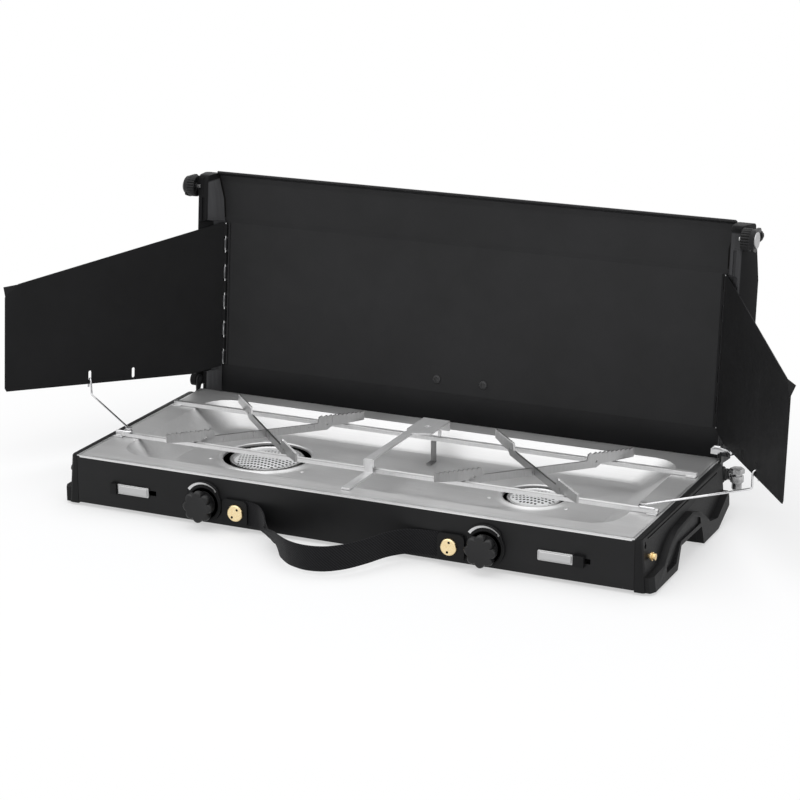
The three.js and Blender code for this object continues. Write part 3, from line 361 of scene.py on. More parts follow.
def webbing(name):
    """Twill webbing: diagonal ribs over fine cords, from the strap's own u, v in metres."""
    p = Paint(name, Metallic=0.0, Specular_IOR_Level=0.2, Sheen_Weight=0.08, Sheen_Roughness=0.4)
    along = p.split(add_node(p.tree, "UVMap", {}, uv_map="along").outputs["UV"])
    u, v = along["X"], along["Y"]
    rib_turn = 2 * math.pi / 0.0030
    cord_turn = 2 * math.pi / 0.0011
    slant = 2100.0
    phase = p.math("ADD", p.math("MULTIPLY", u, rib_turn), p.math("MULTIPLY", v, slant))
    rib = p.math("MULTIPLY_ADD", p.math("SINE", phase), 0.5, 0.5)
    cord = p.math("MULTIPLY_ADD", p.math("SINE", p.math("MULTIPLY", v, cord_turn)), 0.5, 0.5)
    weave = p.math("ADD", p.math("MULTIPLY", rib, 0.65), p.math("MULTIPLY", cord, 0.35))
    fuzz = p.noise(2600, 3, 0.6)
    tone = p.math("ADD", p.math("MULTIPLY", weave, 0.7), p.math("MULTIPLY", fuzz, 0.3))
    p.colors(tone, (0.0015, 0.0015, 0.002), (0.017, 0.017, 0.019), 0.3, 0.75)
    p.rough(p.ramp(fuzz, 0.75, 0.95))
    p.bump(weave, 0.8, 0.0005)
    p.bump(fuzz, 0.2, 0.0001)
    return p.mat


# painted_steel(name, dark, light, rough, shine)
LID = painted_steel("lid_enamel", 0.016, 0.021, 0.5, 0.22)
SHIELD = painted_steel("shield_enamel", 0.010, 0.013, 0.5, 0.12)
PAN = painted_steel("pan_enamel", 0.010, 0.014, 0.42, 0.2)
# moulded(name, dark, light, rough, grain, shine)
CAP = moulded("cap_plastic", 0.008, 0.012, 0.5, 0.3, 0.16)
LATCH = moulded("latch_plastic", 0.005, 0.008, 0.4, 0.2, 0.25)
SCREW = moulded("dark_screw", 0.018, 0.026, 0.3, 0.15, 0.5)
KNOB = moulded("knob_plastic", 0.010, 0.014, 0.38, 0.2, 0.3)
LID_CAP = cap_painted_light("lid_cap_plastic")
# satin_steel(name, grain along x, y, z, base, rough, ...)
TRIVET = satin_steel("trivet_steel", (500, 500, 60), 0.40, 0.3)
BRIDGE = satin_steel("bridge_steel", (500, 60, 500), 0.7, 0.4, metal=0.6)
# A darker copy of the bridge steel: painted shade on the leg behind the rear rail.
LEG_SHADE = satin_steel("leg_steel_painted_shade", (500, 500, 60), 0.22, 0.45)
LIP = satin_steel("lip_steel", (60, 600, 600), 0.72, 0.34)
DISC = satin_steel("disc_steel", (600, 600, 600), 0.42, 0.36, streak=0.12, bump=0.1)
TRAY = satin_steel("tray_steel", (14, 700, 700), 0.615, 0.5, sheet=0.25)
STRIP = satin_steel("strip_steel", (500, 500, 60), 0.66, 0.36)
BURNER = satin_steel("burner_steel", (300, 300, 900), 0.7, 0.34)
GAUZE = satin_steel("gauze_steel", (700, 700, 700), 0.84, 0.45, streak=0.04, metal=0.2)
PLATE = satin_steel("plate_steel", (30, 1500, 1500), 0.5, 0.34, streak=0.05)
SCALE = satin_steel("scale_silver", (900, 900, 900), 0.62, 0.4, streak=0.02)
FITTING = satin_steel("fitting_steel", (400, 400, 400), 0.42, 0.3, streak=0.12, bump=0.05)
HINGE = wear_and_shade_steel("hinge_steel", knuckle_wear)
# The pin is painted dark as shade; bare steel shows only in two bands.
PIN = wear_and_shade_steel("pin_steel", pin_glint_bands)
CHROME = bright_steel("wire_steel")
BRASS = turned_brass("brass", (0.66, 0.46, 0.2), (0.8, 0.6, 0.32))
GOLD = turned_brass("pin_brass", (0.86, 0.66, 0.36), (0.95, 0.8, 0.5))
RUBBER = rubber("foot_rubber")
SHADE_BLACK = shade_black("painted_shade_black")
WEB = webbing("strap_webbing")

# The first entry that a node's name starts with gives its finish.
FINISHES = [
    ("base_pan", PAN), ("base_cap", CAP), ("foot_", RUBBER), ("hinge_ear", PAN), ("latch_stud_left", SCREW),
    ("latch_stud", BRASS), ("lid_pin_left", SCREW), ("lid_pin", CHROME), ("drip_tray", TRAY), ("front_rail", STRIP),
    ("rear_rail", STRIP), ("centre_bridge", BRIDGE), ("pot_support", TRIVET), ("burner_head", BURNER),
    ("burner_cup", BURNER), ("gas_valve", BRASS), ("gas_pipe", CHROME), ("gas_inlet", CHROME), ("knob_bezel", CAP),
    ("knob_", KNOB), ("strap_anchor", CAP), ("anchor_screw", BRASS), ("carry_strap", WEB), ("catch_plate", PLATE),
    ("catch_grip", CAP), ("lid_shell", LID), ("lid_screw", CAP), ("lid_cap", LID_CAP), ("lid_latch", KNOB),
    ("latch_screw", DISC), ("wind_shield", SHIELD), ("shield_hinge_left", HINGE), ("shield_hinge", SHIELD),
    ("shield_pin_right", PIN), ("shield_pin", CHROME), ("wire_stay", CHROME),
]
for name, node in NODES.items():
    node.data.materials.clear()
    node.data.materials.append(next(finish for start, finish in FINISHES if name.startswith(start)))


# ---------------------------------------------------------------- mesh helpers
# Turns of a lathe's z axis: to the front, to the right and to the back.
TO_FRONT = Matrix(((1, 0, 0), (0, 0, -1), (0, 1, 0)))
TO_RIGHT = Matrix(((0, 0, 1), (0, 1, 0), (-1, 0, 0)))
TO_BACK = Matrix(((1, 0, 0), (0, 0, 1), (0, -1, 0)))
FRONT_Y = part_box("base_pan")[0][1]


def centre_of(name):
    """The low corner, the high corner and the middle of a CAD node's box."""
    low, high = (Vector(p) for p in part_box(name))
    return low, high, (low + high) / 2


def facing_front(u, v, depth):
    """The axes of a plate that is drawn as seen from the front."""
    return Vector((u, depth, v))


def build(name, verts, faces, material, body, slot, smooth=40, replaces=()):
    """A piece from plain vertices and faces."""
    mesh = bpy.data.meshes.new(name)
    mesh.from_pydata([tuple(v) for v in verts], [], faces)
    return place(name, mesh, material, body, slot, smooth, replaces)


def place(name, mesh, material, body, slot, smooth=40, replaces=()):
    """A piece from a mesh: cleaned, shaded, on its body, with the nodes it stands for hidden; its slot is not used.
    """
    work = bmesh.new()
    work.from_mesh(mesh)
    bmesh.ops.remove_doubles(work, verts=work.verts, dist=1e-7)
    bmesh.ops.recalc_face_normals(work, faces=work.faces)
    work.to_mesh(mesh)
    work.free()
    mesh.materials.append(material)
    mesh.shade_smooth()
    mesh.set_sharp_from_angle(angle=math.radians(smooth))
    obj = linked(name, mesh)
    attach(obj, body)
    if replaces:
        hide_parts(*replaces)
    return obj


def joined(parts):
    verts, faces = [], []
    for v, f in parts:
        base = len(verts)
        verts += list(v)
        faces += [tuple(i + base for i in face) for face in f]
    return verts, faces


def rings_mesh(rings, closed_ends=True):
    """A skin over rings of equal length, each a closed loop of points."""
    n = len(rings[0])
    verts = [p for ring in rings for p in ring]
    faces = []
    for k in range(len(rings) - 1):
        for i in range(n):
            j = (i + 1) % n
            faces.append((k * n + i, k * n + j, (k + 1) * n + j, (k + 1) * n + i))
    if closed_ends:
        faces.append(tuple(reversed(range(n))))
        faces.append(tuple(range((len(rings) - 1) * n, len(rings) * n)))
    return verts, faces


def lathe(profile, segments=64, shape=None):
    """Rings about the z axis; shape(angle, k) scales the radius of ring k."""
    rings = []
    for k, (r, z) in enumerate(profile):
        ring = []
        for i in range(segments):
            a = 2 * math.pi * i / segments
            rr = r * (shape(a, k) if shape else 1)
            ring.append(Vector((rr * math.cos(a), rr * math.sin(a), z)))
        rings.append(ring)
    return rings_mesh(rings)


def moved(part, turn, shift):
    """A part turned, unless turn is None, and then shifted."""
    verts, faces = part
    shift = Vector(shift)
    return [((turn @ Vector(v)) if turn else Vector(v)) + shift for v in verts], faces


def tube(points, radius, sides, bend):
    """A round wire through points, with corners rounded to the bend radius."""
    path = [Vector(p) for p in points]
    smooth = [path[0]]
    for a, b, c in zip(path, path[1:], path[2:]):
        u, v = (a - b).normalized(), (c - b).normalized()
        reach = min(bend, (a - b).length * 0.45, (c - b).length * 0.45)
        for i in range(7):
            t = i / 6
            smooth.append(b + u * reach * (1 - t) ** 2 + v * reach * t ** 2)
    path = smooth + [path[-1]]
    rings = []
    across = None
    for i, p in enumerate(path):
        a = path[max(i - 1, 0)]
        b = path[min(i + 1, len(path) - 1)]
        along = (b - a).normalized()
        if across is None:
            across = along.orthogonal().normalized()
        across = (across - along * across.dot(along)).normalized()
        other = along.cross(across)
        rings.append([
            p + radius * (math.cos(t) * across + math.sin(t) * other)
            for t in (2 * math.pi * k / sides for k in range(sides))
        ])
    return rings_mesh(rings)


def slab(outline, depth0, depth1, axes, edge=0.0004):
    """A plate between two depths with a rounded edge; axes maps (u, v, depth) to a point."""
    n = len(outline)
    centre = Vector((sum(p[0] for p in outline) / n, sum(p[1] for p in outline) / n))
    inward = []
    for i, p in enumerate(outline):
        a, b = Vector(outline[i - 1]), Vector(outline[(i + 1) % n])
        normal = Vector((-(b - a).y, (b - a).x)).normalized()
        if normal.dot(centre - Vector(p)) < 0:
            normal = -normal
        inward.append(normal)
    sign = 1 if depth1 > depth0 else -1
    rows = [(0.0, depth0)]
    for i in range(5):
        t = math.pi / 2 * i / 4
        rows.append((edge * (1 - math.cos(t)), depth1 - sign * edge * (1 - math.sin(t))))
    rings = []
    for inset, depth in rows:
        rings.append([
            axes(p[0] + inward[i].x * inset, p[1] + inward[i].y * inset, depth)
            for i, p in enumerate(outline)
        ])
    return rings_mesh(rings)


def rounded(u0, u1, v0, v1, r, steps=6):
    """The outline of a rectangle with rounded corners."""
    points = []
    corners = [(u1 - r, v1 - r, 0), (u0 + r, v1 - r, 1), (u0 + r, v0 + r, 2), (u1 - r, v0 + r, 3)]
    for cu, cv, quarter in corners:
        for i in range(steps + 1):
            a = (quarter + i / steps) * math.pi / 2
            points.append((cu + r * math.cos(a), cv + r * math.sin(a)))
    return points


def applied(obj):
    """Replace a piece's mesh by what its modifiers make of it."""
    graph = bpy.context.evaluated_depsgraph_get()
    result = bpy.data.meshes.new_from_object(obj.evaluated_get(graph))
    obj.modifiers.clear()
    old = obj.data
    obj.data = result
    bpy.data.meshes.remove(old)


def cut(obj, cutter_part):
    """Take closed cutters out of a piece."""
    mesh = bpy.data.meshes.new("cutter")
    mesh.from_pydata([tuple(v) for v in cutter_part[0]], [], cutter_part[1])
    cutter = linked("cutter", mesh)
    modifier = obj.modifiers.new("holes", "BOOLEAN")
    modifier.object = cutter
    modifier.operation = "DIFFERENCE"
    modifier.solver = "MANIFOLD"
    applied(obj)
    bpy.data.objects.remove(cutter)
    bpy.data.meshes.remove(mesh)


def soften(obj, width):
    """Round every hard edge of a piece, as a real pressed or moulded edge is."""
    modifier = obj.modifiers.new("edge", "BEVEL")
    modifier.width = width
    modifier.segments = 2
    modifier.limit_method = "ANGLE"
    modifier.angle_limit = math.radians(38)
    modifier.use_clamp_overlap = True
    modifier.harden_normals = True
    applied(obj)


def eased(node, piece, body, slot, width, smooth=38):
    """A CAD part again with its edges rounded."""
    mesh = NODES[node].data.copy()
    mesh.name = piece
    work = bmesh.new()
    work.from_mesh(mesh)
    bmesh.ops.remove_doubles(work, verts=work.verts, dist=1e-6)
    bmesh.ops.dissolve_limit(work, angle_limit=math.radians(0.4), verts=work.verts, edges=work.edges)
    work.to_mesh(mesh)
    work.free()
    finish = mesh.materials[0]
    mesh.materials.clear()
    obj = place(piece, mesh, finish, body, slot, smooth, (node,))
    soften(obj, width)
    return obj


# ---------------------------------------------------------------- knobs, catches and the front wall
def knob(side):
    """A fluted knob, narrower at the back; returns its middle."""
    low, high, mid = centre_of(f"knob_{side}")
    deep = (high.y - low.y) * 0.94
    radius = (high.x - low.x) / 2
    # Radius and depth as shares of the knob's own, and how deep the flutes cut at each row.
    rows = [(0.68, 0.0), (0.72, 0.02), (0.74, 0.10), (0.80, 0.30), (0.93, 0.45), (0.97, 0.60),
            (0.975, 0.78), (0.95, 0.89), (0.90, 0.955), (0.84, 0.985), (0.74, 1.0), (0.70, 0.99),
            (0.67, 0.985), (0.40, 0.975), (0.02, 0.975)]
    depth = [0.0, 0.02, 0.04, 0.08, 0.16, 0.2, 0.215, 0.21, 0.2, 0.17, 0.08, 0.03, 0, 0, 0]

    def lobes(a, k):
        return 1 - depth[k] * (1 - abs(math.cos(4 * a)) ** 0.8)

    part = lathe([(radius * 1.01 * r, deep * t) for r, t in rows], 160, lobes)
    part = moved(part, TO_FRONT, (mid.x, high.y, mid.z))
    build(f"control_knob_{side}", *part, KNOB, f"knob_body_{side}", "black_plastic", 50, (f"knob_{side}",))
    return mid


def bezel(side, mid):
    """The raised disc behind the knob, with a brow above for the flame scale; returns its face's y."""
    low, high, _ = centre_of(f"knob_bezel_{side}")
    base = (high.x - low.x) / 2
    outline = []
    for i in range(96):
        a = 2 * math.pi * i / 96
        turn = math.degrees(a)
        brow = min(max((turn - 28) / 26, 0), max((165 - turn) / 22, 0), 1)
        brow = brow * brow * (3 - 2 * brow)
        r = base + 0.0034 * brow
        outline.append((mid.x + r * math.cos(a), mid.z + r * math.sin(a)))
    disc = slab(outline, high.y, low.y + 0.0002, facing_front, 0.0007)
    dish = lathe([(0.0178, 0.0), (0.0178, 0.0005), (0.0172, 0.0007), (0.0166, 0.0005), (0.0160, 0.0001),
                  (0.0130, 0.0001), (0.0126, 0.0009), (0.0118, 0.0010), (0.0005, 0.0010)], 72)
    parts = joined([disc, moved(dish, TO_FRONT, (mid.x, low.y + 0.0003, mid.z))])
    build(f"knob_plate_{side}", *parts, CAP, "base", "black_plastic", 35, (f"knob_bezel_{side}",))
    return low.y


def flame_scale(side, mid, face):
    """A silver arc on the brow that tapers from full flame to low, with a dot at its end."""
    outer, inner = [], []
    steps = 44
    for i in range(steps + 1):
        t = i / steps
        a = math.radians(142 - 98 * t)
        wide = 0.0023 * (1 - t) ** 1.15 + 0.0007 + 0.0015 * max(0.0, (t - 0.94) / 0.06) ** 0.5
        r = 0.0222 - 0.0016 * t * t
        outer.append((mid.x + r * math.cos(a), mid.z + r * math.sin(a)))
        inner.append((mid.x + (r - wide) * math.cos(a), mid.z + (r - wide) * math.sin(a)))
    outline = outer + inner[::-1]
    verts = [facing_front(u, v, depth) for depth in (face + 0.0003, face - 0.00005) for u, v in outline]
    m = len(outline)
    faces = []
    for k in range(steps):
        faces.append((k, k + 1, m - 2 - k, m - 1 - k))
        faces.append((m + k, m + m - 1 - k, m + m - 2 - k, m + k + 1))
    for k in range(m):
        faces.append((k, (k + 1) % m, m + (k + 1) % m, m + k))
    build(f"flame_scale_{side}", verts, faces, SCALE, "base", "stainless", 30)


def catch(side):
    """The bright sliding plate with its raised face, and the neck and keeper behind the wall."""
    low, high, mid = centre_of(f"catch_plate_{side}")
    y = FRONT_Y
    plate = slab(rounded(low.x, high.x, low.z, high.z, 0.0014), y - 0.0003, y - 0.0022, facing_front, 0.0005)
    raised = slab(rounded(low.x + 0.0014, high.x - 0.0014, low.z + 0.0012, high.z - 0.0012, 0.0014),
                  y - 0.0021, y - 0.0032, facing_front, 0.0008)
    neck = slab(rounded(mid.x - 0.006, mid.x + 0.006, mid.z - 0.0022, mid.z + 0.0022, 0.0006),
                y - 0.0004, y + 0.0041, facing_front, 0.0002)
    keeper = slab(rounded(mid.x - 0.010, mid.x + 0.010, mid.z - 0.005, mid.z + 0.005, 0.001),
                  y + 0.0013, y + 0.003, facing_front, 0.0003)
    build(f"catch_face_{side}", *joined([plate, raised, neck, keeper]), PLATE, f"catch_body_{side}",
          "stainless", 40, (f"catch_plate_{side}",))


def anchor_screw(side, angle):
    """A two-hole pin screw with a shallow dished face."""
    low, high, mid = centre_of(f"anchor_screw_{side}")
    r = (high.x - low.x) / 2
    deep = high.y - low.y
    rows = [(0.4, 0.0), (0.4, 0.45), (0.93, 0.5), (1.0, 0.6), (1.0, 0.86), (0.97, 0.94), (0.9, 0.985), (0.82, 1.0),
            (0.74, 0.995), (0.4, 0.975), (0.05, 0.97)]
    part = lathe([(r * a, deep * b) for a, b in rows], 72)
    obj = build(f"anchor_face_{side}", *moved(part, TO_FRONT, (mid.x, high.y, mid.z)), GOLD, "base", "brass", 35,
                (f"anchor_screw_{side}",))
    holes, shade_discs = [], []
    for turn in (angle, angle + 180):
        a = math.radians(turn)
        at = (mid.x + 0.58 * r * math.cos(a), 0, mid.z + 0.58 * r * math.sin(a))
        rod = lathe([(0.0013, -0.0016), (0.0013, 0.004)], 20)
        holes.append(moved(rod, TO_FRONT, (at[0], low.y, at[2])))
        # Near-black discs deep in the two holes: painted shade.
        disc = lathe([(0.00124, 0.0), (0.00124, 0.0009), (0.0006, 0.0011)], 16)
        shade_discs.append(moved(disc, TO_FRONT, (at[0], low.y + 0.0016, at[2])))
    cut(obj, joined(holes))
    build(f"anchor_hole_shade_{side}", *joined(shade_discs), SHADE_BLACK, "base", "painted_black_steel", 30)


# ---------------------------------------------------------------- webbing strap
def spline(p0, p1, p2, p3, f):
    """Centripetal Catmull-Rom between p1 and p2."""
    t1 = math.sqrt((p1 - p0).length)
    t2 = t1 + math.sqrt((p2 - p1).length)
    t3 = t2 + math.sqrt((p3 - p2).length)
    t = t1 + (t2 - t1) * f
    a1 = p0 * ((t1 - t) / t1) + p1 * (t / t1)
    a2 = p1 * ((t2 - t) / (t2 - t1)) + p2 * ((t - t1) / (t2 - t1))
    a3 = p2 * ((t3 - t) / (t3 - t2)) + p3 * ((t - t2) / (t3 - t2))
    b1 = a1 * ((t2 - t) / t2) + a2 * (t / t2)
    b2 = a2 * ((t3 - t) / (t3 - t1)) + a3 * ((t - t1) / (t3 - t1))
    return b1 * ((t2 - t) / (t2 - t1)) + b2 * ((t - t1) / (t2 - t1))


def strap():
    """The strap along its centre line, with the length run from its left end as u."""
    # Millimetres from the panel's face and the anchors' height: the centre line, then the direction of the width.
    keys = [
        (-128, -1.1, 0, 0, 0, 1), (-114, -1.1, 0, 0, 0, 1), (-101, -1.15, 0, 0, 0, 1),
        (-91, -3.6, -0.7, 0.03, -0.03, 1), (-82, -9, -3.1, 0.2, -0.3, 0.9),
        (-73, -17, -6.6, 0.38, -0.72, 0.5), (-63, -28, -8.7, 0.42, -0.86, 0.24),
        (-51, -42, -7.6, 0.36, -0.7, 0.6), (-38, -57, -5.6, 0.18, -0.36, 0.9),
        (-21, -71, -4.2, 0.05, -0.1, 1), (-1, -78, -3.4, 0, 0, 1), (18, -75, -3, 0, 0, 1),
        (34, -62, -2.6, 0, 0, 1), (47, -41, -2, 0, 0, 1), (58, -19, -1.2, 0, 0, 1),
        (72, -5.5, -0.5, 0, 0, 1), (90, -1.7, -0.1, 0, 0, 1), (101, -1.15, 0, 0, 0, 1),
        (114, -1.1, 0, 0, 0, 1), (128, -1.1, 0, 0, 0, 1),
    ]
    anchor_z = 16.1
    points = [Vector((x, y + FRONT_Y / MM, z + anchor_z)) for x, y, z, *_ in keys]
    wides = [Vector(k[3:]) for k in keys]
    half, thick = 12.75, 0.75
    path = []
    for k in range(len(points) - 1):
        p1, p2 = points[k], points[k + 1]
        p0 = points[k - 1] if k else p1 * 2 - p2
        p3 = points[k + 2] if k + 2 < len(points) else p2 * 2 - p1
        for i in range(12):
            f = i / 12
            path.append((spline(p0, p1, p2, p3, f), wides[k].lerp(wides[k + 1], f)))
    path.append((points[-1], wides[-1]))
    rows, run, runs = [], 0.0, []
    # Half of the width and of the thickness are 1.
    edge = [(-1, 0), (-0.975, 0.7), (-0.93, 1), (-0.6, 0.97), (0, 1), (0.6, 0.97), (0.93, 1), (0.975, 0.7),
            (1, 0), (0.975, -0.7), (0.93, -1), (0.6, -0.97), (0, -1), (-0.6, -0.97), (-0.93, -1), (-0.975, -0.7)]
    for i, (at, wide) in enumerate(path):
        a = path[max(i - 1, 0)][0]
        b = path[min(i + 1, len(path) - 1)][0]
        along = (b - a).normalized()
        wide = (wide - along * wide.dot(along)).normalized()
        out = along.cross(wide)
        if i:
            run += (at - path[i - 1][0]).length
        runs.append(run)
        rows.append([(at + wide * half * u + out * thick * v) * MM for u, v in edge])
    verts, faces = rings_mesh(rows)
    mesh = bpy.data.meshes.new("webbing")
    mesh.from_pydata([tuple(v) for v in verts], [], faces)
    layer = mesh.uv_layers.new(name="along")
    n = len(edge)
    for poly in mesh.polygons:
        for loop in poly.loop_indices:
            v = mesh.loops[loop].vertex_index
            layer.data[loop].uv = (runs[v // n] * MM, edge[v % n][0] * half * MM)
    obj = place("webbing", mesh, WEB, "base", "webbing", 60, ("carry_strap",))
    cutters = []
    for hole, radius, sides in (("anchor_screw", 0.0034, 24), ("knob_bezel", 0.02, 48)):
        for side in ("left", "right"):
            mid = centre_of(f"{hole}_{side}")[2]
            rod = lathe([(radius, -0.004), (radius, 0.004)], sides)
            cutters.append(moved(rod, TO_FRONT, (mid.x, FRONT_Y - 0.0011, mid.z)))
    cut(obj, joined(cutters))


# ---------------------------------------------------------------- tray, grate and burners
def rolled_lip():
    """The bright rolled edge of the drip tray, all round where it folds over the pan."""
    low, high, _ = centre_of("drip_tray")
    top = high.z + 0.00006
    r = 0.0015
    rows = [(-0.00006, top - 0.0022)]
    for i in range(7):
        a = math.pi / 2 * i / 6
        rows.append((r * (1 - math.cos(a)) - 0.00006, top - r * (1 - math.sin(a))))
    rows += [(0.0030, top - 0.00004), (0.0034, top - 0.0003), (0.0034, top - 0.0022)]
    rings = []
    for inset, z in rows:
        outline = rounded(low.x + inset, high.x - inset, low.y + inset, high.y - inset, max(0.0035 - inset, 0.0004))
        rings.append([Vector((u, v, z)) for u, v in outline])
    rings.append(rings[0])
    build("tray_lip", *rings_mesh(rings, False), LIP, "base", "stainless", 40)


def bridge_leg():
    """A folded strip from the bridge down to the basin floor, behind the rear rail."""
    z0 = 0.0286
    x0, x1, y = 0.0095, 0.0155, 0.0605
    outline = [(y, 0.0508), (y + 0.001, 0.0508), (y + 0.001, z0), (y - 0.012, z0), (y - 0.012, z0 + 0.001),
               (y, z0 + 0.001)]
    n = len(outline)
    verts = [(x, u, v) for x in (x0, x1) for u, v in outline]
    faces = [tuple(range(n)), tuple(range(2 * n - 1, n - 1, -1))]
    faces += [(i, (i + 1) % n, n + (i + 1) % n, n + i) for i in range(n)]
    soften(build("bridge_leg", verts, faces, LEG_SHADE, "base", "stainless", 30), 0.00025)


def burner(side):
    """A crowned, perforated gauze in a scalloped rim over a near-black dome of painted shade."""
    low, high, mid = centre_of(f"burner_head_{side}")
    radius = (high.x - low.x) / 2
    rim = radius * 0.90
    crown = high.z - 0.0012
    drop = 0.0058 * radius / 0.039

    def level(r):
        return crown - drop * (r / rim) ** 2

    centre = (mid.x, mid.y, 0)
    thick = 0.0002
    steps = 18
    radii = [rim * (i + 0.4) / (steps + 0.4) for i in range(steps + 1)]
    profile = [(r, level(r)) for r in radii]
    under = [(r, z - thick) for r, z in reversed(profile)]
    part = moved(lathe(profile + under, 72), None, centre)
    plate = build(f"burner_plate_{side}", *part, GAUZE, "base", "stainless", 40)
    pitch, hole = 0.0039, 0.0014
    cutters = []
    rows = int(rim / pitch) + 1
    for j in range(-rows, rows + 1):
        for i in range(-rows - 2, rows + 3):
            x = (i + (j % 2) / 2) * pitch
            y = j * pitch * 1.2
            r = math.hypot(x, y)
            if r > rim - 0.0032:
                continue
            z = level(r)
            rod = lathe([(hole, z - 0.003), (hole, z + 0.002)], 10)
            cutters.append(moved(rod, None, (mid.x + x, mid.y + y, 0)))
    cut(plate, joined(cutters))
    # The rolled rim, closed on itself, with fine scallops.
    waves = 60 if side == "left" else 44

    def scallop(a, k):
        return 1 + (0.012 * math.cos(waves * a) if k in (3, 4, 5) else 0)

    base = low.z + 0.0036
    outline = [(rim - 0.0008, base - 0.0030), (rim - 0.0006, base + 0.0003), (rim + 0.0002, base + 0.0012),
               (radius * 0.955, base + 0.0014), (radius * 0.985, base + 0.0009), (radius * 0.985, base - 0.0001),
               (radius * 0.975, low.z + 0.0002), (rim - 0.0008, low.z + 0.0002)]
    n = waves * 6
    verts, faces = lathe(outline, n, scallop)
    faces = faces[:-2]
    k = len(outline) - 1
    for i in range(n):
        j = (i + 1) % n
        faces.append((k * n + i, k * n + j, j, i))
    part = moved((verts, faces), None, centre)
    build(f"burner_rim_{side}", *part, BURNER, "base", "stainless", 50, (f"burner_head_{side}",))
    # A near-black dome just below the holes: painted shade inside the burner.
    radii = [rim * (i + 0.2) / 10.3 for i in range(11)]
    dome = [(r, level(r) - 0.0007) for r in radii]
    dome += [(rim * 1.005, low.z + 0.0004), (0.0002, low.z + 0.0003)]
    build(f"burner_shade_{side}", *moved(lathe(dome, 64), None, centre), SHADE_BLACK, "base",
          "painted_black_steel", 30)


# ---------------------------------------------------------------- rear corners
def inlet():
    """Swivel elbow with a hexagon collar, a knurled sleeve and a threaded spigot."""
    low, high, mid = centre_of("gas_inlet")
    x, y = high.x - 0.0078, high.y - 0.0077
    rows = [(3.0, 2.2), (3.0, 0.1), (3.6, 0.0), (4.6, 0.5), (4.9, 1.2)]
    for i in range(6):
        z = 1.6 + i * 1.05
        rows += [(5.25, z + 0.15), (5.25, z + 0.4), (4.85, z + 0.7), (4.85, z + 0.95)]
    rows += [(5.0, 8.2), (6.6, 8.6), (6.9, 9.1), (6.9, 14.6), (6.5, 15.2), (5.3, 15.5), (5.3, 17.6), (6.6, 17.9)]
    knurl = range(len(rows) - 6, len(rows) - 3)
    part = lathe([(r * MM, z * MM) for r, z in rows] + [(0.0001, 17.9 * MM)], 144,
                 lambda a, k: 1 - 0.05 * abs(math.cos(18 * a)) if k in knurl else 1)
    parts = [moved(part, None, (x, y, low.z))]
    nut = lathe([(6.2 * MM, 17.6 * MM), (7.7 * MM, 17.9 * MM), (7.7 * MM, 22.0 * MM), (6.9 * MM, 22.9 * MM),
                 (0.0002, 23.0 * MM)], 6)
    parts.append(moved(nut, Matrix.Rotation(math.radians(12), 3, "Z"), (x, y, low.z)))
    z = low.z + 0.015
    stem = lathe([(4.6 * MM, 0), (4.6 * MM, x - 0.2856)], 36)
    parts.append(moved(stem, TO_RIGHT, (0.2856, y, z)))
    ring = lathe([(5.4 * MM, 0), (6.2 * MM, 0.6 * MM), (6.2 * MM, 5.2 * MM), (5.4 * MM, 5.8 * MM)], 6)
    parts.append(moved(ring, TO_RIGHT, (0.3032, y, z)))
    back = lathe([(5.2 * MM, 0), (5.2 * MM, y - low.y), (2.0 * MM, y - low.y + 0.002)], 32)
    parts.append(moved(back, TO_BACK, (0.29, low.y + 0.0003, z)))
    build("inlet_elbow", *joined(parts), FITTING, "base", "bright_steel", 35, ("gas_inlet",))


def ear_boss():
    """The moulded stop on the right ear, beside the gas inlet."""
    rows = [(8.6, 0), (8.6, 2.2), (8.0, 3.0), (6.4, 3.2), (6.0, 3.6), (5.6, 5.6), (4.6, 6.3), (0.3, 6.5)]
    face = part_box("hinge_ear_right")[1][0]
    part = lathe([(r * MM, z * MM) for r, z in rows], 64)
    build("ear_boss", *moved(part, TO_RIGHT, (face + 0.0001, 0.1222, 0.036)), CAP, "base", "black_plastic", 40)


def lid_pins():
    """A short dark stub on the left; on the right a bright sleeve behind a clip plate."""
    _, high, mid = centre_of("lid_pin_left")
    stub = lathe([(3.4 * MM, 0), (3.4 * MM, 4.0 * MM), (2.8 * MM, 4.6 * MM), (0.3 * MM, 4.8 * MM)], 32)
    to_left = Matrix.Rotation(math.pi, 3, "Z") @ TO_RIGHT
    build("pin_stub", *moved(stub, to_left, (high.x, mid.y, mid.z)), SCREW, "base", "bright_steel", 35,
          ("lid_pin_left",))
    low, high, mid = centre_of("lid_pin_right")
    rows = [(0.3, 0), (2.4, 0.2), (3.8, 1.2), (4.4, 2.8), (4.4, 9.0), (3.2, 9.4), (3.2, 17.5), (4.3, 17.8),
            (4.3, 19.4), (3.8, 19.9), (0.3, 20.0)]
    sleeve = lathe([(r * MM, z * MM) for r, z in rows], 40)
    clip = [(low.x + 0.0004, mid.z - 0.0030), (low.x + 0.0075, mid.z - 0.0034), (low.x + 0.0090, mid.z - 0.0002),
            (high.x + 0.0012, mid.z - 0.0008), (high.x - 0.0026, mid.z + 0.0030), (low.x + 0.0085, mid.z + 0.0050),
            (low.x + 0.0030, mid.z + 0.0046), (low.x + 0.0004, mid.z + 0.0022)]
    plate = slab(clip, mid.y - 0.0072, mid.y - 0.0082, facing_front, 0.0004)
    parts = [moved(sleeve, TO_RIGHT, (low.x, mid.y, mid.z)), plate]
    build("pin_sleeve", *joined(parts), CHROME, "base", "bright_steel", 35, ("lid_pin_right",))


# ---------------------------------------------------------------- lid: caps, screws, latches and stays
LEAN = math.radians(5.38)
LID_Y, LID_Z = 151.35, 21.51
LATCH_S, LATCH_D = 251.0, 26.3
# The lid cap: where its worn top and its taper begin, its flat front and the edge where its flared side starts.
CAP_TOP, CAP_TAPER, CAP_FRONT, CAP_SIDE = 262.0, 208, 27.4, 307.6
# Heights at which the cap gets extra rows of vertices for the taper to bend.
CAP_ROWS = (207, 224, 242)


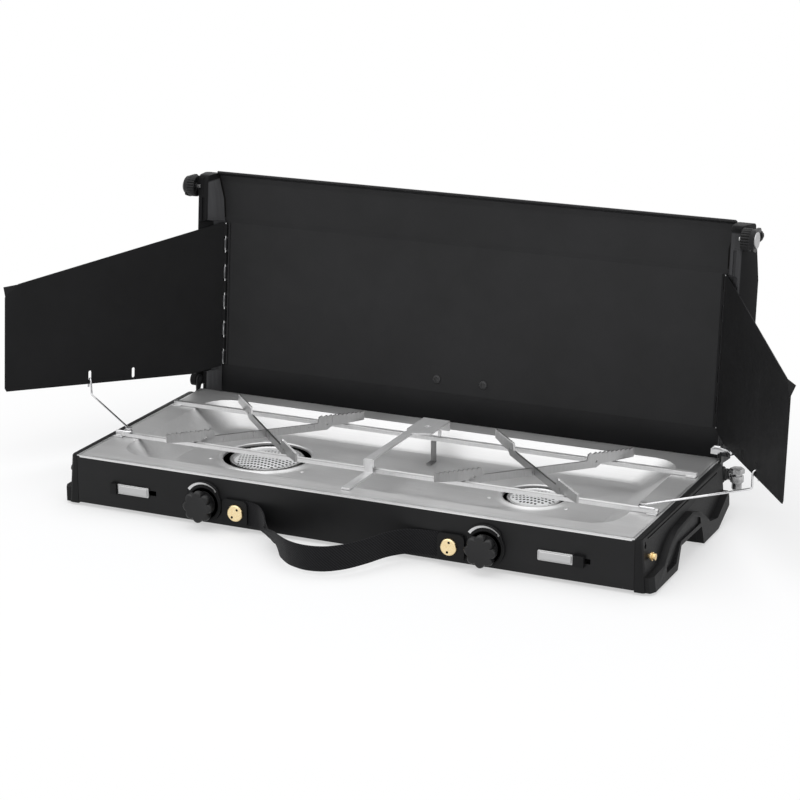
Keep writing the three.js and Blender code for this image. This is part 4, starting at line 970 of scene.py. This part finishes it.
def lid_point(x, s, d):
    """Millimetres: x across, s up the lid, d forward of its panel."""
    y = LID_Y + s * math.sin(LEAN) - d * math.cos(LEAN)
    z = LID_Z + s * math.cos(LEAN) + d * math.sin(LEAN)
    return Vector((x, y, z)) * MM


def lid_place(point):
    """The lid frame's x, s, d of a point in metres, as millimetres."""
    y, z = point.y / MM - LID_Y, point.z / MM - LID_Z
    s = y * math.sin(LEAN) + z * math.cos(LEAN)
    d = -y * math.cos(LEAN) + z * math.sin(LEAN)
    return point.x / MM, s, d


def lid_cap(side, sign):
    """The moulded cap, worn low at its top and tapered above the shield, with a strip of painted shade in the joint
    beside its wing.
    """
    obj = eased(f"lid_cap_{side}", f"cap_cover_{side}", "lid", "black_plastic", 0.0005)
    work = bmesh.new()
    work.from_mesh(obj.data)
    for level in CAP_ROWS:
        bmesh.ops.bisect_plane(work, geom=work.verts[:] + work.edges[:] + work.faces[:], dist=1e-6,
                               plane_co=lid_point(0, level, 0), plane_no=lid_point(0, 1, 0) - lid_point(0, 0, 0))
    work.to_mesh(obj.data)
    work.free()
    for vertex in obj.data.vertices:
        x, s, d = lid_place(vertex.co)
        if s > CAP_TOP:
            s = CAP_TOP + (s - CAP_TOP) * 0.3
        if d > CAP_FRONT and s > 200:
            d = CAP_FRONT - 0.1 + (d - CAP_FRONT) * 0.05
        if s > CAP_TAPER and sign * x > CAP_SIDE:
            taper = max(0.35, 1 - (s - CAP_TAPER) * 0.0112)
            x = sign * (CAP_SIDE + (sign * x - CAP_SIDE) * taper)
        vertex.co = lid_point(x, s, d)
    # A dark strip of painted shade in the joint between the wing and the panel: height, edge of the wing, depth of
    # the panel.
    rows = [(216, 287.9, 0.7), (236, 288.3, 2.3), (256, 292.8, 3.9), (262, 294.0, 4.8)]
    rings = []
    for s, edge, panel in rows:
        corners = ((edge - 1.7, 0.1), (edge - 1.5, 0.4), (edge + 0.3, 0.6), (edge + 0.3, 0.1))
        rings.append([lid_point(sign * x, s, panel + d) for x, d in corners])
    build(f"cap_gap_shade_{side}", *rings_mesh(rings), SHADE_BLACK, "lid", "black_plastic", 30)
    # The ear behind the latch, as x, s; its two faces are a little smaller than its middle.
    ear = [(306, 260), (316, 259.6), (320.5, 258), (322.8, 255.2), (323, 252.6), (321.6, 249), (315.5, 242.5),
           (306, 241)]
    rings = [[lid_point(sign * (x - (x - 306) * inset), s + (251 - s) * inset, d) for x, s in ear]
             for d, inset in ((3.6, 0.06), (4.4, 0.0), (9.6, 0.0), (10.4, 0.06))]
    soften(build(f"cap_ear_{side}", *rings_mesh(rings), CAP, "lid", "black_plastic", 30), 0.0005)


def lid_screw(side):
    """A domed head with a hexagon recess in front, and the nut behind."""
    mid = centre_of(f"lid_screw_{side}")[2]
    x, s, _ = lid_place(mid)
    rows = [(0.3, -4.0), (3.2, -4.0), (3.9, -3.4), (3.9, -1.6), (2.6, -1.5), (2.6, -0.5), (4.6, -0.4), (4.6, 0.2),
            (4.2, 0.9), (3.3, 1.3), (2.8, 1.4), (2.5, 1.35)]
    head = lathe(rows, 48)
    recess = lathe([(2.5, 1.35), (2.3, 0.5), (0.2, 0.4)], 48, lambda a, k: 1 - 0.1 * (k == 1) * abs(math.cos(3 * a)))
    verts, faces = joined([(head[0], head[1][:-1]), (recess[0], recess[1][:-2] + [recess[1][-1]])])
    points = [lid_point(x + v.x, s + v.y, v.z) for v in verts]
    build(f"screw_head_{side}", points, faces, SCREW, "lid", "painted_black_steel", 30, (f"lid_screw_{side}",))


def latch(side, sign):
    """A ribbed grip on five spokes, and the lever behind it."""
    low, high, _ = centre_of(f"lid_latch_{side}")
    inner = min(abs(low.x), abs(high.x)) / MM

    def beside(u, v, out):
        return lid_point(sign * (inner + out), LATCH_S + v, LATCH_D + u)

    rows = [(0.4, 0), (4.2, 0), (4.5, 0.3), (4.5, 1.7), (9.2, 1.7), (9.5, 0.25), (9.8, 0), (11.0, 0),
            (11.6, 0.7), (11.6, 8.4), (11.1, 9.1), (10.4, 9.4), (10.2, 9.6), (10.2, 13.0), (9.8, 13.4),
            (0.4, 13.4)]

    def ribs(a, k):
        return 1 - (0.085 * (1 - abs(math.cos(12 * a)) ** 0.6) if 7 <= k <= 10 else 0)

    verts, faces = lathe(rows, 192, ribs)
    parts = [([beside(*v) for v in verts], faces)]
    for i in range(5):
        a = 2 * math.pi * i / 5 + 0.3
        along, wide = Vector((math.cos(a), math.sin(a))), Vector((-math.sin(a), math.cos(a)))
        corners = [along * 4.3 - wide * 0.8, along * 9.4 - wide * 0.8, along * 9.4 + wide * 0.8,
                   along * 4.3 + wide * 0.8]
        parts.append(slab(corners, 1.75, 0.35, beside, 0.25))
    lever = [(7, -10), (-4, -13), (-17, 2), (-19, 8), (-16, 11), (2, 10)]
    soft = []
    for i, p in enumerate(lever):
        a, b, c = Vector(lever[i - 1]), Vector(p), Vector(lever[(i + 1) % len(lever)])
        for t in (0, 0.5, 1):
            soft.append(b + (a - b).normalized() * 2 * (1 - t) ** 2 + (c - b).normalized() * 2 * t ** 2)
    parts.append(slab(soft, 10.4, 13.0, beside, 0.4))
    build(f"latch_grip_{side}", *joined(parts), LATCH, f"latch_body_{side}", "black_plastic", 45,
          (f"lid_latch_{side}",))


def stay(side, sign, angle):
    """The bent wire from its eye on the front rail to the hook in the shield's slot; angle is the shield's."""
    a = math.radians(angle)
    slot = 159.8
    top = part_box("drip_tray")[1][2] / MM
    rail_y = (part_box("front_rail")[0][1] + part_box("front_rail")[1][1]) / 2 / MM
    centre_x = sign * (285.6 + slot * math.sin(a))

    def at(s, out, drop=0.0):
        p = lid_point(centre_x, s, 2.2 + slot * math.cos(a)) / MM
        return Vector((p.x - sign * math.cos(a) * out, p.y - math.sin(a) * out, p.z - drop))

    wire = 1.15
    low = top + 0.3 + 4.6 + 0.6 + wire
    ring = 1.9 + wire + 0.25
    path = [Vector((sign * 295, rail_y - ring, low))]
    for i in range(10):
        turn = math.radians(-90 - i * 160 / 9)
        path.append(Vector((sign * (282 + ring * math.cos(turn)), rail_y + ring * math.sin(turn), low)))
    bend = at(47, 3.3)
    bend.z = top + 13
    path += [bend, at(44.8, 3.1), at(46.9, 1.7), at(47.3, 0.0), at(46.6, -1.9), at(43.5, -3.2), at(37, -3.4)]
    part = tube([p * MM for p in path], wire * MM, 16, 0.0022)
    build(f"stay_wire_{side}", *part, CHROME, f"stay_{side}", "bright_steel", 60, (f"wire_stay_{side}",))


# ---------------------------------------------------------------- the pieces
for support in ("left_a", "left_b", "right_a", "right_b"):
    eased(f"pot_support_{support}", f"trivet_{support}", "base", "stainless", 0.0003)
for node, piece in (("front_rail", "rail_front"), ("rear_rail", "rail_rear"), ("centre_bridge", "bridge_plate")):
    eased(node, piece, "base", "stainless", 0.0003)
eased("drip_tray", "tray_top", "base", "stainless", 0.0006, 16)
eased("base_pan", "pan_body", "base", "painted_black_steel", 0.0006)
for side in ("left", "right"):
    eased(f"base_cap_{side}", f"end_cap_{side}", "base", "black_plastic", 0.0006)
rolled_lip()
anchor_screw("left", 55)
anchor_screw("right", 80)
for side, sign in (("left", -1), ("right", 1)):
    lid_cap(side, sign)
    lid_screw(side)
lid_pins()
inlet()
ear_boss()
bridge_leg()
for side, sign in (("left", -1), ("right", 1)):
    middle = knob(side)
    flame_scale(side, middle, bezel(side, middle))
    burner(side)
    latch(side, sign)
    catch(side)
stay("left", -1, 35)
stay("right", 1, 31.5)
strap()
